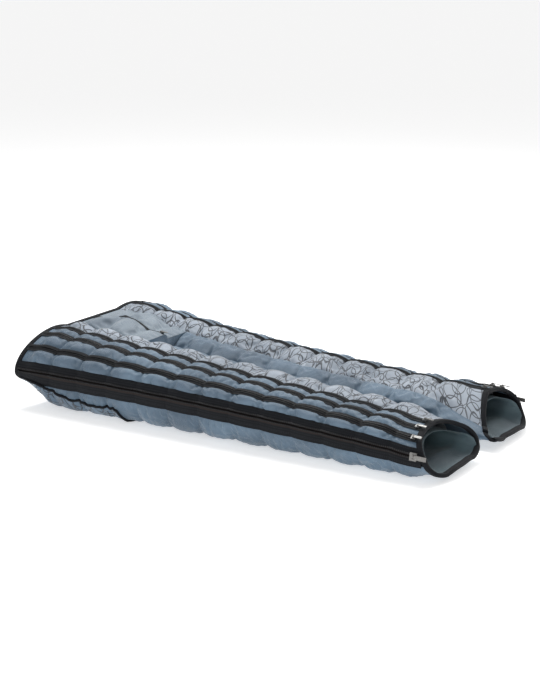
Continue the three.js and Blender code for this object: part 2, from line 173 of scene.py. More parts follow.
class Bench:
    """A material's node graph while it is being wired."""

    def __init__(self, name: str) -> None:
        """Starts a material with a bare shader.

        Args:
            name: The material's name.
        """
        self.material = bpy.data.materials.new(name)
        self.material.use_nodes = True
        self.tree = self.material.node_tree
        self.shader = self.tree.nodes["Principled BSDF"]

    def node(self, kind: str, settings: dict, inputs: dict, output: Union[int, str] = 0) -> Wire:
        """Adds one node.

        Args:
            kind: The node's type.
            settings: The node's own settings, set before its sockets.
            inputs: Values or wires, by socket name or place.
            output: The socket that is wanted.

        Returns:
            That output.
        """
        made = self.tree.nodes.new(kind)
        for key, value in settings.items():
            setattr(made, key, value)
        for key, value in inputs.items():
            self.plug(made.inputs[key], value)
        return Wire(self, made.outputs[output])

    def plug(self, socket: bpy.types.NodeSocket, value: object) -> None:
        """Links a wire to a socket, or sets the socket's value."""
        if isinstance(value, Wire):
            self.tree.links.new(value.socket, socket)
        else:
            socket.default_value = value

    def flat(self) -> tuple[Wire, Wire]:
        """The place on the cut piece, along the garment and across it, in metres."""
        along = self.node("ShaderNodeSeparateXYZ", {}, {0: self.node("ShaderNodeUVMap", {}, {})})
        return along, Wire(self, along.socket.node.outputs[1])

    def place(self) -> Wire:
        """The place in the garment's frame, in metres."""
        return self.node("ShaderNodeTexCoord", {}, {}, "Object")

    def cloud(self, scale: float, detail: float = 3.0, vector: Union[Wire, None] = None) -> Wire:
        """Soft noise from about 0.2 to 0.8, scale times a metre."""
        inputs = {"Vector": vector or self.place(), "Scale": scale, "Detail": detail}
        return self.node("ShaderNodeTexNoise", {}, inputs, "Fac")

    def vector(self, x: Value, y: Value, z: Value) -> Wire:
        """Three values as a vector."""
        return self.node("ShaderNodeCombineXYZ", {}, {0: x, 1: y, 2: z})

    def blend(self, mask: Value, low: object, high: object) -> Wire:
        """A colour that goes from low to high with the mask."""
        return self.node("ShaderNodeMix", {"data_type": "RGBA"}, {0: mask, 6: low, 7: high}, 2)

    def bump(self, height: Wire, distance: float, strength: float = 1.0) -> Wire:
        """A height in units of distance, as a normal."""
        inputs = {"Height": height, "Distance": distance, "Strength": strength}
        return self.node("ShaderNodeBump", {}, inputs, "Normal")

    def finish(self, **inputs: object) -> Material:
        """Plugs the shader's sockets, named with _ for a space, and gives the material."""
        for key, value in inputs.items():
            self.plug(self.shader.inputs[key.replace("_", " ")], value)
        return self.material


def linear(red: int, green: int, blue: int) -> Colour:
    """A display colour as linear light."""
    parts = [((c / 255 + 0.055) / 1.055) ** 2.4 if c > 10 else c / 255 / 12.92 for c in (red, green, blue)]
    return (*parts, 1.0)


BLACK = (0.0, 0.0, 0.0, 1.0)


@dataclass(frozen=True)
class Nylon:
    """Woven nylon with a satin face, in one colour or printed with loops of thin line."""

    name: str
    pale: Colour
    deep: Colour
    ink: Union[Colour, None] = None
    thread: float = 0.0009
    roughness: float = 0.38
    sheen: float = 0.15

    def loops(self, bench: Bench, along: Wire, across: Wire) -> Wire:
        """Thin tall loops that overlap.

        Args:
            bench: The graph.
            along: The place along the garment.
            across: The place across it.

        Returns:
            1 on a line, 0 off it.
        """
        sway = bench.cloud(9.0, 1.0) - 0.5
        curl = bench.cloud(13.0, 1.0) - 0.5
        mask: Value = 0.0
        for wide, tall, shift, rise, size in (
            (0.043, 0.066, 0.0, 0.0, 0.44),
            (0.058, 0.074, 0.43, 0.37, 0.38),
            (0.034, 0.088, 0.21, 0.71, 0.45),
        ):
            u = (along / wide + shift + sway * 0.9).fraction() - 0.5
            v = (across / tall + rise + curl * 0.9).fraction() - 0.5
            ring = (u * u + v * v) ** 0.5 - size
            line = ring.line(0.030)
            mask = line if isinstance(mask, float) else mask.at_least(line)
        return mask

    def material(self) -> Material:
        """Wires the finish."""
        bench = Bench(self.name)
        along, across = bench.flat()
        pace = 2 * math.pi / self.thread
        weave = (along * pace).sine() * (across * pace).sine()
        crumple = bench.cloud(34.0, 4.0, bench.vector(along, across * 0.3, 0.0))
        tone = bench.cloud(7.0, 3.0).step(0.3, 0.7)
        colour = bench.blend(tone, self.deep, self.pale)
        colour = bench.blend((weave * 0.5 + 0.5) * 0.10, colour, BLACK)
        if self.ink:
            colour = bench.blend(self.loops(bench, along, across) * 0.85, colour, self.ink)
        height = weave * 0.05 + crumple
        return bench.finish(
            Base_Color=colour,
            Roughness=bench.cloud(60.0) * 0.12 + (self.roughness - 0.06),
            Normal=bench.bump(height, 0.0042, 0.6),
            Sheen_Weight=self.sheen,
            Sheen_Roughness=0.4,
        )


@dataclass(frozen=True)
class Ribbon:
    """Ribbed black tape, with rows of stitches at given distances from its middle."""

    name: str
    base: Colour
    thread: Colour
    rows: tuple[float, ...] = ()
    middle: Union[Colour, None] = None
    rib: float = 0.0016
    stitch: float = 0.0042

    def material(self) -> Material:
        """Wires the finish."""
        bench = Bench(self.name)
        along, across = bench.flat()
        ribs = (along * (2 * math.pi / self.rib)).sine() * 0.5 + 0.5
        colour = bench.blend(ribs * 0.25, self.base, BLACK)
        colour = bench.blend(bench.cloud(25.0) * 0.2, colour, self.thread)
        height = ribs * 0.25 + bench.cloud(300.0) * 0.2
        if self.middle:
            colour = bench.blend(across.line(0.0052) * 0.45, colour, self.middle)
        for row in self.rows:
            dash = ((along / self.stitch).fraction() - 0.4).line(0.36)
            seam = (abs(across) - row).line(0.0007) * dash
            colour = bench.blend(seam * 0.8, colour, self.thread)
            height = height + seam * 0.8
        return bench.finish(
            Base_Color=colour,
            Roughness=bench.cloud(90.0) * 0.15 + 0.62,
            Normal=bench.bump(height, 0.0005),
            Sheen_Weight=0.03,
            Specular_IOR_Level=0.15,
        )


@dataclass(frozen=True)
class Moulded:
    """Cast metal or moulded plastic with fine grain and rubbed edges."""

    name: str
    base: Colour
    worn: Colour
    metal: float
    roughness: float

    def material(self) -> Material:
        """Wires the finish."""
        bench = Bench(self.name)
        wear = bench.cloud(420.0, 4.0).step(0.45, 0.7)
        return bench.finish(
            Base_Color=bench.blend(wear * 0.5, self.base, self.worn),
            Roughness=wear * 0.15 + self.roughness,
            Normal=bench.bump(bench.cloud(1500.0), 0.0001),
            Metallic=self.metal,
        )


@dataclass(frozen=True)
class Film:
    """Smooth coated film of the air cells."""

    name: str
    base: Colour

    def material(self) -> Material:
        """Wires the finish."""
        bench = Bench(self.name)
        haze = bench.cloud(18.0)
        return bench.finish(
            Base_Color=bench.blend(haze * 0.4, self.base, (0.5, 0.55, 0.58, 1.0)),
            Roughness=haze * 0.2 + 0.3,
            Normal=bench.bump(bench.cloud(90.0), 0.0006),
            Coat_Weight=0.2,
        )


class Wardrobe:
    """Every finish, made once."""

    def __init__(self) -> None:
        """Makes the materials."""
        black = linear(13, 16, 21)
        rows = (0.0175, 0.0145, 0.0085)
        finishes = (
            Nylon("plain_nylon", linear(104, 127, 147), linear(78, 98, 116)),
            Nylon("centre_nylon", linear(136, 149, 160), linear(110, 124, 137)),
            Nylon("printed_nylon", linear(172, 182, 194), linear(144, 155, 168), linear(26, 30, 38)),
            Nylon("patch_nylon", linear(112, 136, 157), linear(86, 107, 126), linear(22, 26, 34)),
            Nylon("lining_cloth", linear(84, 106, 113), linear(58, 75, 84), roughness=0.55),
            Ribbon("zip_tape", linear(24, 28, 33), linear(66, 65, 64), (0.0078,)),
            Ribbon("main_zip_tape", black, linear(38, 40, 44), rows, linear(56, 46, 42)),
            Moulded("zip_coil", linear(26, 27, 30), linear(56, 54, 52), 0.0, 0.45),
            Ribbon("binding_tape", black, linear(44, 46, 50)),
            Moulded("slider_metal", linear(128, 127, 125), linear(176, 175, 172), 0.9, 0.34),
            Moulded("inlet_plastic", linear(34, 35, 38), linear(56, 57, 60), 0.0, 0.38),
            Film("bladder_film", linear(139, 148, 153)),
        )
        (
            self.plain,
            self.centre,
            self.print,
            self.patch,
            self.lining,
            self.tape,
            self.wide_tape,
            self.coil,
            self.binding,
            self.metal,
            self.plastic,
            self.film,
        ) = (finish.material() for finish in finishes)


# ---- The garment's surface ----------------------------------------------------------------------


def smooth(value: Array) -> Array:
    """Goes from 0 to 1 with level ends, and stays there."""
    share = np.clip(value, 0.0, 1.0)
    return share * share * (3 - 2 * share)


def mix(low: Reach, high: Reach, share: Reach) -> Array:
    """A value between two others."""
    return low + (high - low) * share


def unit(vectors: Array) -> Array:
    """Vectors at length one."""
    return vectors / np.maximum(np.linalg.norm(vectors, axis=-1, keepdims=True), 1e-12)


def level(value: float) -> Along:
    """A rule that gives the same value all along the garment."""
    return lambda x: np.full_like(x, value)


def runs(curve: Array) -> Array:
    """How far along a curve each of its points is."""
    return np.concatenate([[0.0], np.cumsum(np.linalg.norm(np.diff(curve, axis=0), axis=1))])


def at_runs(at: Array, run: Array, curve: Array) -> Array:
    """A curve's points at given distances along it."""
    return np.stack([np.interp(at, run, curve[:, i]) for i in range(3)], -1)


def raise_to(points: Array, lowest: float) -> None:
    """Lifts the points that are under a height up to it."""
    points[..., 2] = np.maximum(points[..., 2], lowest)


@dataclass(frozen=True)
class Rim:
    """A leg's outline at one end, seen along X."""

    inner: float
    outer: float
    height: float
    front: float
    back: float


@dataclass(frozen=True)
class GarmentShape:
    """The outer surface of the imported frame, and how the soft garment lies on it."""

    waist_x: float = -0.575
    length: float = 1.150
    rise: float = 0.250
    waist: Rim = Rim(0.010, 0.2885, 0.1745, 1.8, 2.6)
    foot: Rim = Rim(0.030, 0.2405, 0.1005, 2.4, 2.6)
    rest_flat: float = 0.006
    edge: float = 0.0065
    beaks: tuple[float, float] = (0.012, 0.040)
    sole_reach: float = 0.070
    front_seams: tuple[float, float] = (112.0, 134.0)
    back_seam: float = -104.0
    cell_start: float = -0.5460
    cell_pitch: float = 0.0835
    bow: float = 0.024
    sag: float = 0.030
    curl: float = 0.018
    hump: float = 0.017
    fold: float = 0.011
    corner_lift: float = 0.62
    far_near_slump: tuple[float, float] = (0.95, 0.12)
    far_near_reach: tuple[float, float] = (0.030, 0.020)

    @property
    def crotch(self) -> float:
        """Where the two legs part."""
        return self.waist_x + self.rise

    def share(self, x: Array) -> Array:
        """How far along the garment a place is, from 0 to 1."""
        return (np.asarray(x, float) - self.waist_x) / self.length

    def front_seam(self, x: Array) -> Array:
        """The angle of the seam between a front panel and an inner panel."""
        return mix(*self.front_seams, self.share(x))

    def waist_end(self, angle: Array) -> Array:
        """Where the cloth ends at the waist."""
        sine = np.sin(np.radians(angle))
        return self.waist_x + self.edge + np.where(sine >= 0, *self.beaks) * sine**2

    def foot_end(self, angle: Array) -> Array:
        """Where the cloth ends at the foot."""
        short = self.sole_reach / 2 * (1 + np.sin(np.radians(angle)))
        return self.waist_x + self.length - self.edge - short

    def rim_point(self, rim: Rim, angle: Array, depth: Array) -> tuple[Array, Array]:
        """A point of an outline.

        Args:
            rim: The outline.
            angle: Degrees up from the outermost line.
            depth: How far under the surface.

        Returns:
            Its distance from the garment's middle, and its height.
        """
        turn = np.radians(angle)
        sine, cosine = np.sin(turn), np.cos(turn)
        power = 2 / np.where(sine >= 0, rim.front, rim.back)
        out = np.sign(cosine) * np.abs(cosine) ** power
        up = np.sign(sine) * np.abs(sine) ** power
        half = rim.height / 2
        high = half + np.where(up >= 0, half - depth, half + self.rest_flat - depth) * up
        low = np.where(up >= 0, -1.0, np.maximum(depth, 0.0))
        aside = (rim.inner + rim.outer) / 2 + ((rim.outer - rim.inner) / 2 - depth) * out
        return aside, np.maximum(high, low)

    def skin(self, side: Side, x: Array, angle: Array, depth: Reach = 0.0) -> Array:
        """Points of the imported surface."""
        x, angle = np.broadcast_arrays(np.asarray(x, float), np.asarray(angle, float))
        share = self.share(x)
        out0, high0 = self.rim_point(self.waist, angle, np.asarray(depth, float))
        out1, high1 = self.rim_point(self.foot, angle, np.asarray(depth, float))
        return np.stack([x, side.value * mix(out0, out1, share), mix(high0, high1, share)], -1)

    def wrapped(self, angle: Array) -> Array:
        """Angles as one turn from the back seam."""
        return (np.asarray(angle, float) - self.back_seam) % 360.0 + self.back_seam

    def ends(self, x: Array, angle: Array) -> Array:
        """0 at the ends of the cloth and 1 a little way in."""
        waist = smooth((x - self.waist_end(angle) - 0.008) / 0.05)
        return waist * smooth((self.foot_end(angle) - x - 0.024) / 0.06)

    def cell(self, x: Array, angle: Array) -> Array:
        """The arch of an air cell: 0 on a weld line and 1 in the middle of a cell."""
        wander = 0.006 * np.sin(np.radians(angle) * 1.7 + 9.0 * self.share(x))
        place = (x + wander - self.cell_start) / self.cell_pitch
        return (1 - (2 * (place - np.floor(place)) - 1) ** 2) ** 0.65

    def lift(self, x: Array, angle: Array) -> Array:
        """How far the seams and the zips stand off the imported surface, along its normal."""
        turn = self.wrapped(angle)
        strong = [0, 0.003, 0.0035, 0.008, 0.009, 0.009, 0.005, 0.004, 0]
        grip = np.interp(turn, [-104, -60, 5, 42, 67, 86, 120, 180, 256], strong)
        return grip * (self.cell(x, turn) - 0.25) * self.ends(x, turn)

    def pucker(self, x: Array, seed: float) -> Array:
        """Uneven gathers along a seam, from -1 to 1."""
        strong = 0.6 + 0.4 * np.sin(x * 23.0 + seed * 2.3) * np.sin(x * 61.0 + seed)
        wide = np.abs(np.sin(x * 62.0 + seed * 5.1 + 1.5 * np.sin(x * 31.0)))
        tight = np.abs(np.sin(x * 104.0 + seed * 3.7 + 2 * np.sin(x * 40.0)))
        return strong * (wide + 0.7 * tight - 0.9)

    def lie(self, points: Array, angle: Array) -> Array:
        """Points as the soft garment lies.

        The near side bows up and the far one sags. The inner side of each foot slumps and reaches out, the
        sole curls up, the waist's corners lift and the front of the hip is humped and folded.

        Args:
            points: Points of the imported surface.
            angle: Their angles round the leg.

        Returns:
            The moved points.
        """
        x, y, z = points[..., 0], points[..., 1], points[..., 2]
        turn = self.wrapped(angle)
        share = self.share(x)
        side_share = np.interp(turn, [-70, -20, 5, 42, 67, 86], [0, 0.4, 0.55, 0.45, 0.1, 0])
        drops = [0, 0.2, 0.9, 0.8, 0.5, 0.7, 0.35, 0]
        drop_share = np.interp(turn, [-20, 5, 42, 67, 86, 112, 134, 200], drops)
        middle = 4 * share * (1 - share) * self.ends(x, turn)
        raised = middle * np.where(y > 0, -self.sag * drop_share, self.bow * side_share)
        foot = smooth((x - 0.36) / 0.17)
        slump = np.interp(turn, [92, 134, 180, 215, 250], [0, 0.62, 0.5, 0.25, 0]) * foot
        raised -= slump * z * np.where(y > 0, *self.far_near_slump)
        curl = np.interp(turn, [-104, -80, -40, 0, 180, 215, 256], [1, 0.9, 0.3, 0, 0, 0.7, 1])
        raised += self.curl * curl * smooth((x - 0.45) / 0.11)
        corner = (1 - smooth((x - self.waist_x) / 0.11)) * smooth((np.abs(y) - 0.09) / 0.16)
        under = np.maximum(self.waist.height / 2 - z, 0)
        raised += np.where(turn < 0, self.corner_lift * corner * under, 0.0)
        upper = smooth((turn - 60) / 40) * smooth((200 - turn) / 40)
        hump = np.exp(-(((x + 0.43) / 0.045) ** 2)) * np.exp(-((y / 0.075) ** 2))
        fold = np.exp(-(((x + 0.455 - 0.4 * y) / 0.016) ** 2)) * np.exp(-((y / 0.10) ** 2))
        raised += upper * (self.hump * hump + self.fold * fold)
        moved = points.copy()
        moved[..., 2] = np.maximum(z + raised, 0.0)
        inner = np.interp(turn, [92, 134, 180, 250], [0, 0.9, 1, 0])
        moved[..., 0] += inner * np.where(y > 0, *self.far_near_reach) * smooth((x - 0.34) / 0.2)
        return moved


SHAPE = GarmentShape()

# How far under the surface the panels, the bladders and the linings lie. The linings come up at their ends.
SUNK = 0.0008
BLADDER_DEPTH = 0.0125
LINING_DEPTH = 0.0232
FLARE_DEPTH = 0.0062

# The linings' thickness, and the height that they stay above.
LINING_THICK = 0.0008
LINING_FLOOR = 0.0048

# A row's place and its angles depend on each other, so they are found in turns, at this many points.
TRIES = 4
DENSE = 121


@dataclass
class Patch:
    """A grid of points on the garment, with the way out and the angle at each of them."""

    points: Array
    out: Array
    angle: Array
    name: str = ""
    bulge: float = 0.0
    gather: float = 0.0030

    @property
    def wide(self) -> float:
        """The patch's mean width."""
        return float(np.linalg.norm(np.diff(self.points, axis=1), axis=-1).sum(1).mean())

    @property
    def flat(self) -> Array:
        """Places on the cut piece in metres, along the garment and across it."""
        down = np.linalg.norm(np.diff(self.points, axis=0), axis=-1).mean(1)
        over = np.linalg.norm(np.diff(self.points, axis=1), axis=-1)
        u = np.concatenate([[0.0], np.cumsum(down)])[:, None] + self.points[0, 0, 0]
        v = np.concatenate([np.zeros((len(over), 1)), np.cumsum(over, 1)], 1)
        return np.stack([np.broadcast_to(u, v.shape), v - v[:, -1:] / 2], -1)

    def raised(self, height: Reach) -> Array:
        """The points, moved out by a height."""
        return self.points + self.out * np.asarray(height)[..., None]

    def resettled(self, points: Array) -> "Patch":
        """The same patch with moved points, and the way out worked out again."""
        return Patch(points, outward(points, self.out), self.angle, self.name, self.bulge, self.gather)


def finer(grid: Array) -> Array:
    """A grid with a smooth new value between each two of its values, both ways."""
    for axis in (0, 1):
        g = np.moveaxis(grid, axis, 0)
        ends = np.concatenate([2 * g[:1] - g[1:2], g, 2 * g[-1:] - g[-2:-1]])
        between = (9 * (ends[1:-2] + ends[2:-1]) - ends[:-3] - ends[3:]) / 16
        made = np.empty((2 * len(g) - 1, *g.shape[1:]))
        made[::2], made[1::2] = g, between
        grid = np.moveaxis(made, 0, axis)
    return grid


def outward(points: Array, guide: Array) -> Array:
    """The normals of a grid, on the guide's side."""
    normal = unit(np.cross(np.gradient(points, axis=0), np.gradient(points, axis=1)))
    return normal * np.where(np.sum(normal * guide, -1, keepdims=True) < 0, -1.0, 1.0)


def respaced(curve: Array, extra: Array, count: int) -> tuple[Array, Array]:
    """Points at equal steps along a curve.

    Args:
        curve: The curve's points.
        extra: A value at each of them.
        count: How many points are wanted.

    Returns:
        The new points and the value at each.
    """
    run = runs(curve)
    at = np.linspace(0, run[-1], count)
    return at_runs(at, run, curve), np.interp(at, run, extra)


@dataclass(frozen=True)
class Cutter:
    """Cuts patches out of the garment's surface."""

    mesh: float = 0.0072

    def leg(
        self,
        side: Side,
        low: Along,
        high: Along,
        start: Union[float, None] = None,
        end: Union[float, None] = None,
        depth: Along = level(0.0),
        mesh: Union[float, None] = None,
    ) -> Patch:
        """A patch of a leg between two lines along it.

        Args:
            side: The leg.
            low: The angle of the first line at a place along X.
            high: The angle of the second line.
            start: Where it starts along X, or None for the waist edge.
            end: Where it ends, or None for the foot edge.
            depth: How far under the surface.
            mesh: The grid's step, or None for the cutter's own.

        Returns:
            The patch.
        """
        begin = SHAPE.waist_end if start is None else level(start)
        stop = SHAPE.foot_end if end is None else level(end)

        def row(share: float) -> tuple[Array, Array]:
            """One dense row of the patch: its points and their angles."""
            x = np.zeros(DENSE)
            for _ in range(TRIES):
                angle = mix(low(x), high(x), np.linspace(0, 1, DENSE))
                x = mix(begin(angle), stop(angle), share)
            return SHAPE.skin(side, x, angle, depth(x)), angle

        step = mesh or self.mesh
        columns = max(4, int(round(runs(row(0.5)[0])[-1] / step)) + 1)
        x0 = SHAPE.waist_x if start is None else start
        x1 = SHAPE.waist_x + SHAPE.length if end is None else end
        rows = max(3, int(round((x1 - x0) / step)) + 1)
        made = [respaced(*row(share), columns) for share in np.linspace(0, 1, rows)]
        points, angle = (np.array(part) for part in zip(*made))
        return Patch(points, outward(points, points - self.middle(side, points[..., 0])), angle)

    def middle(self, side: Side, x: Array) -> Array:
        """The middle of a leg at places along X."""
        share = SHAPE.share(x)
        rims = (SHAPE.waist, SHAPE.foot)
        across = mix(*[(rim.inner + rim.outer) / 2 for rim in rims], share)
        return np.stack([x, side.value * across, mix(*[rim.height / 2 for rim in rims], share)], -1)

    def shut(self, patch: Patch, x: Array) -> Array:
        """Fades the bulge of the panels that end at the crotch."""
        if patch.name.endswith(("centre_panel", "inner_panel")):
            return smooth(np.abs(x - SHAPE.crotch) / 0.03)
        return np.ones_like(x)

    def gathered(self, patch: Patch) -> Patch:
        """A blown-up panel on a finer grid, with the gathers that its seams draw into it."""
        fine = finer(patch.points)
        angle = finer(patch.angle[..., None])[..., 0]
        x, seed = fine[..., 0], float(sum(map(ord, patch.name)) % 17)
        across = np.broadcast_to(np.linspace(0, 1, fine.shape[1])[None, :], x.shape)
        gather = mix(SHAPE.pucker(x, seed), SHAPE.pucker(x, seed + 4.0), smooth(across))
        close = np.minimum(across, 1 - across) * patch.wide
        near_seam = smooth((close - 0.003) / 0.008) * np.exp(-close / 0.045) * SHAPE.ends(x, angle)
        guide = finer(patch.out)
        points = fine + outward(fine, guide) * (patch.gather * gather * near_seam)[..., None]
        raise_to(points, 0.0006)
        return Patch(points, outward(points, guide), angle, patch.name, patch.bulge, patch.gather)

    def settled(self, patch: Patch, sunk: float = 0.0, puff: bool = False) -> Patch:
        """A patch as the soft garment lies.

        Args:
            patch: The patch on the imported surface.
            sunk: How far it lies under that.
            puff: Whether it also bulges between its edges.

        Returns:
            The moved patch.
        """
        x = patch.points[..., 0]
        height = SHAPE.lift(x, patch.angle) - sunk
        if puff:
            across = np.linspace(0, 1, patch.points.shape[1])[None, :]
            crown = np.sin(np.pi * across) ** 0.7
            arch = SHAPE.cell(x, patch.angle) * 1.15 - 0.15
            free = SHAPE.ends(x, patch.angle) * self.shut(patch, x)
            height = height + patch.bulge * crown * arch * free
        return patch.resettled(SHAPE.lie(patch.raised(height), patch.angle))


# ---- Meshes -------------------------------------------------------------------------------------


def quads(*corners: Array) -> Array:
    """Quads from four arrays of corners."""
    return np.stack(corners, -1).reshape(-1, 4)


def beside(index: Array, around: bool) -> tuple[Array, Array]:
    """The left and the right corners of rows of faces, which may go round."""
    return (index, np.roll(index, -1, -1)) if around else (index[..., :-1], index[..., 1:])


@dataclass
class Solid:
    """Faces that are gathered up into one piece."""

    points: list[Array] = field(default_factory=list)
    faces: list[Array] = field(default_factory=list)
    flats: list[Array] = field(default_factory=list)
    finishes: list[Array] = field(default_factory=list)

    def add(self, points: Array, flat: Array, faces: Array, finish: int, flip: bool) -> None:
        """Adds points and the faces between them.

        Args:
            points: The points.
            flat: Their places on the cut piece.
            faces: The faces, numbered from the first of these points.
            finish: Which material they take.
            flip: Whether the faces look the other way.
        """
        faces = faces + sum(len(p) for p in self.points)
        self.points.append(points.reshape(-1, 3))
        self.flats.append(flat.reshape(-1, 2))
        self.faces.append(faces[:, ::-1] if flip else faces)
        self.finishes.append(np.full(len(faces), finish))

    def grid(self, points: Array, flat: Array, flip: bool = False, around: bool = False) -> None:
        """Adds a grid of quads.

        Args:
            points: Rows of points.
            flat: Their places on the cut piece.
            flip: Whether their faces look the other way.
            around: Whether the last column joins the first.
        """
        index = np.arange(points[..., 0].size).reshape(points.shape[:2])
        left, right = beside(index, around)
        self.add(points, flat, quads(left[:-1], left[1:], right[1:], right[:-1]), 0, flip)

    def slab(self, low: Array, high: Array, flat: Array, around: bool = False) -> None:
        """Adds a closed sheet of cloth between two grids.

        Args:
            low: The inner grid.
            high: The outer grid.
            flat: The places on the cut piece.
            around: Whether it goes round a tube.
        """
        turns = np.cross(high[1, 0] - high[0, 0], high[0, 1] - high[0, 0])
        flip = bool(np.dot(turns, high[0, 0] - low[0, 0]) < 0)
        top = np.arange(low[..., 0].size).reshape(low.shape[:2])
        under = top + top.size
        left, right = beside(top, around)
        left2, right2 = beside(under, around)
        made = [
            quads(left[:-1], left[1:], right[1:], right[:-1]),
            quads(left2[:-1], right2[:-1], right2[1:], left2[1:]),
            quads(left[0], right[0], right2[0], left2[0]),
            quads(left[-1], left2[-1], right2[-1], right[-1]),
        ]
        if not around:
            made.append(quads(top[:-1, 0], under[:-1, 0], under[1:, 0], top[1:, 0]))
            made.append(quads(top[:-1, -1], top[1:, -1], under[1:, -1], under[:-1, -1]))
        self.add(np.stack([high, low]), np.stack([flat, flat]), np.concatenate(made), 0, flip)

    def build(self, name: str, slot: Slot, *materials: Material, bend: float = 0.6) -> Piece:
        """Makes the object, with its edges kept where it bends more than bend radians.

        Args:
            name: The piece's name.
            slot: The record's slot; not used.
            materials: Its materials, by place.
            bend: The sharpest bend that is shaded smooth.

        Returns:
            The object, riding on the garment.
        """
        points = np.concatenate(self.points)
        raise_to(points, 0.0002)
        faces = np.concatenate(self.faces)
        mesh = bpy.data.meshes.new(name)
        mesh.from_pydata(points.tolist(), [], faces.tolist())
        layer = mesh.uv_layers.new(name="flat")
        layer.data.foreach_set("uv", np.concatenate(self.flats)[faces.ravel()].astype(np.float32).ravel())
        for material in materials:
            mesh.materials.append(material)
        mesh.polygons.foreach_set("material_index", np.concatenate(self.finishes).astype(np.int32))
        mesh.polygons.foreach_set("use_smooth", np.ones(len(faces), bool))
        mesh.set_sharp_from_angle(angle=bend)
        mesh.update()
        made = bpy.data.objects.new(name, mesh)
        bpy.context.scene.collection.objects.link(made)
        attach(made, GARMENT)
        LOG.info("%s: %d points", name, len(points))
        return made


@dataclass(frozen=True)
class InletSeat:
    """The flat place on an inner panel that an air inlet is fixed to."""

    round_it: float = 0.016
    sunk: float = 0.0006

    def press(self, patch: Patch) -> Patch:
        """Presses an inner panel flat behind its inlet.

        Args:
            patch: A blown-up panel.

        Returns:
            The same panel, pressed if it has an inlet.
        """
        if not patch.name.endswith("inner_panel"):
            return patch
        low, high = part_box(patch.name.replace("inner_panel", "air_inlet"))
        side = 1.0 if low.y > 0 else -1.0
        back = side * (max(abs(low.y), abs(high.y)) + self.sunk)
        points = patch.points.copy()
        away_x = np.maximum(np.maximum(low.x - points[..., 0], points[..., 0] - high.x), 0)
        away_z = np.maximum(np.maximum(low.z - points[..., 2], points[..., 2] - high.z), 0)
        inner = patch.angle % 360 < 250
        share = (1 - smooth(np.hypot(away_x, away_z) / self.round_it)) * inner
        points[..., 1] = mix(points[..., 1], back, share)
        return patch.resettled(points)


@dataclass(frozen=True)
class AirPump:
    """Blows the quilted panels up between their seams and weld lines, with a cloth simulation."""

    pressure: float = 5.0
    frames: int = 20
    slack: float = -0.05
    cap: float = 0.012
    floor: float = 0.0006

    def held(self, patch: Patch) -> Array:
        """Where a panel is sewn or welded down, or lies on the floor."""
        grip = patch.points[..., 2] < 0.003
        grip[[0, -1]] = True
        grip[:, [0, -1]] = True
        arch = SHAPE.cell(patch.points[..., 0], patch.angle)
        grip[1:-1] |= (arch[1:-1] < arch[:-2]) & (arch[1:-1] <= arch[2:])
        return grip

    def blow(self, patches: Sequence[Patch]) -> list[Patch]:
        """Simulates all the panels together.

        Args:
            patches: The panels before the air goes in.

        Returns:
            The blown-up panels.
        """
        sizes = [p.points[..., 0].size for p in patches]
        points = np.concatenate([p.points.reshape(-1, 3) for p in patches])
        solid = Solid()
        for patch in patches:
            guide = np.cross(patch.points[1, 0] - patch.points[0, 0], patch.points[0, 1] - patch.points[0, 0])
            solid.grid(patch.points, patch.flat, bool(np.dot(guide, patch.out[0, 0]) < 0))
        mesh = bpy.data.meshes.new("air_trial")
        mesh.from_pydata(points.tolist(), [], np.concatenate(solid.faces).tolist())
        trial = bpy.data.objects.new("air_trial", mesh)
        bpy.context.scene.collection.objects.link(trial)
        group = trial.vertex_groups.new(name="held")
        grip = np.concatenate([self.held(p).ravel() for p in patches])
        group.add(np.flatnonzero(grip).tolist(), 1.0, "REPLACE")
        air = trial.modifiers.new("air", "CLOTH")
        rule = air.settings
        rule.quality = 5
        rule.mass = 0.12
        rule.tension_stiffness = rule.compression_stiffness = 14
        rule.shear_stiffness = 4
        rule.bending_stiffness = 0.15
        rule.vertex_group_mass = "held"
        rule.use_pressure = True
        rule.uniform_pressure_force = self.pressure
        rule.shrink_min = self.slack
        rule.effector_weights.gravity = 0
        air.point_cache.frame_start, air.point_cache.frame_end = 1, self.frames
        for step in range(1, self.frames + 1):
            bpy.context.scene.frame_set(step)
        seen = trial.evaluated_get(bpy.context.evaluated_depsgraph_get())
        moved = np.zeros(len(points) * 3)
        seen.data.vertices.foreach_get("co", moved)
        moved = moved.reshape(-1, 3) - points
        bpy.data.objects.remove(trial)
        bpy.context.scene.frame_set(1)
        far = np.linalg.norm(moved, axis=1, keepdims=True)
        moved *= self.cap * np.tanh(far / self.cap) / np.maximum(far, 1e-9)
        LOG.info("air: %d points, largest move %.1f mm", len(points), 1000 * float(far.max()))
        free = np.concatenate([SHAPE.ends(p.points[..., 0], p.angle).ravel() for p in patches])
        points = points + moved * free[:, None]
        raise_to(points, self.floor)
        parts = np.split(points, np.cumsum(sizes)[:-1])
        return [p.resettled(q.reshape(p.points.shape)) for p, q in zip(patches, parts)]


# ---- Zips ---------------------------------------------------------------------------------------


@dataclass(frozen=True)
class ZipSize:
    """A zip's tape and the gauge of its coil, 1 for a light zip."""

    tape: float
    gauge: float


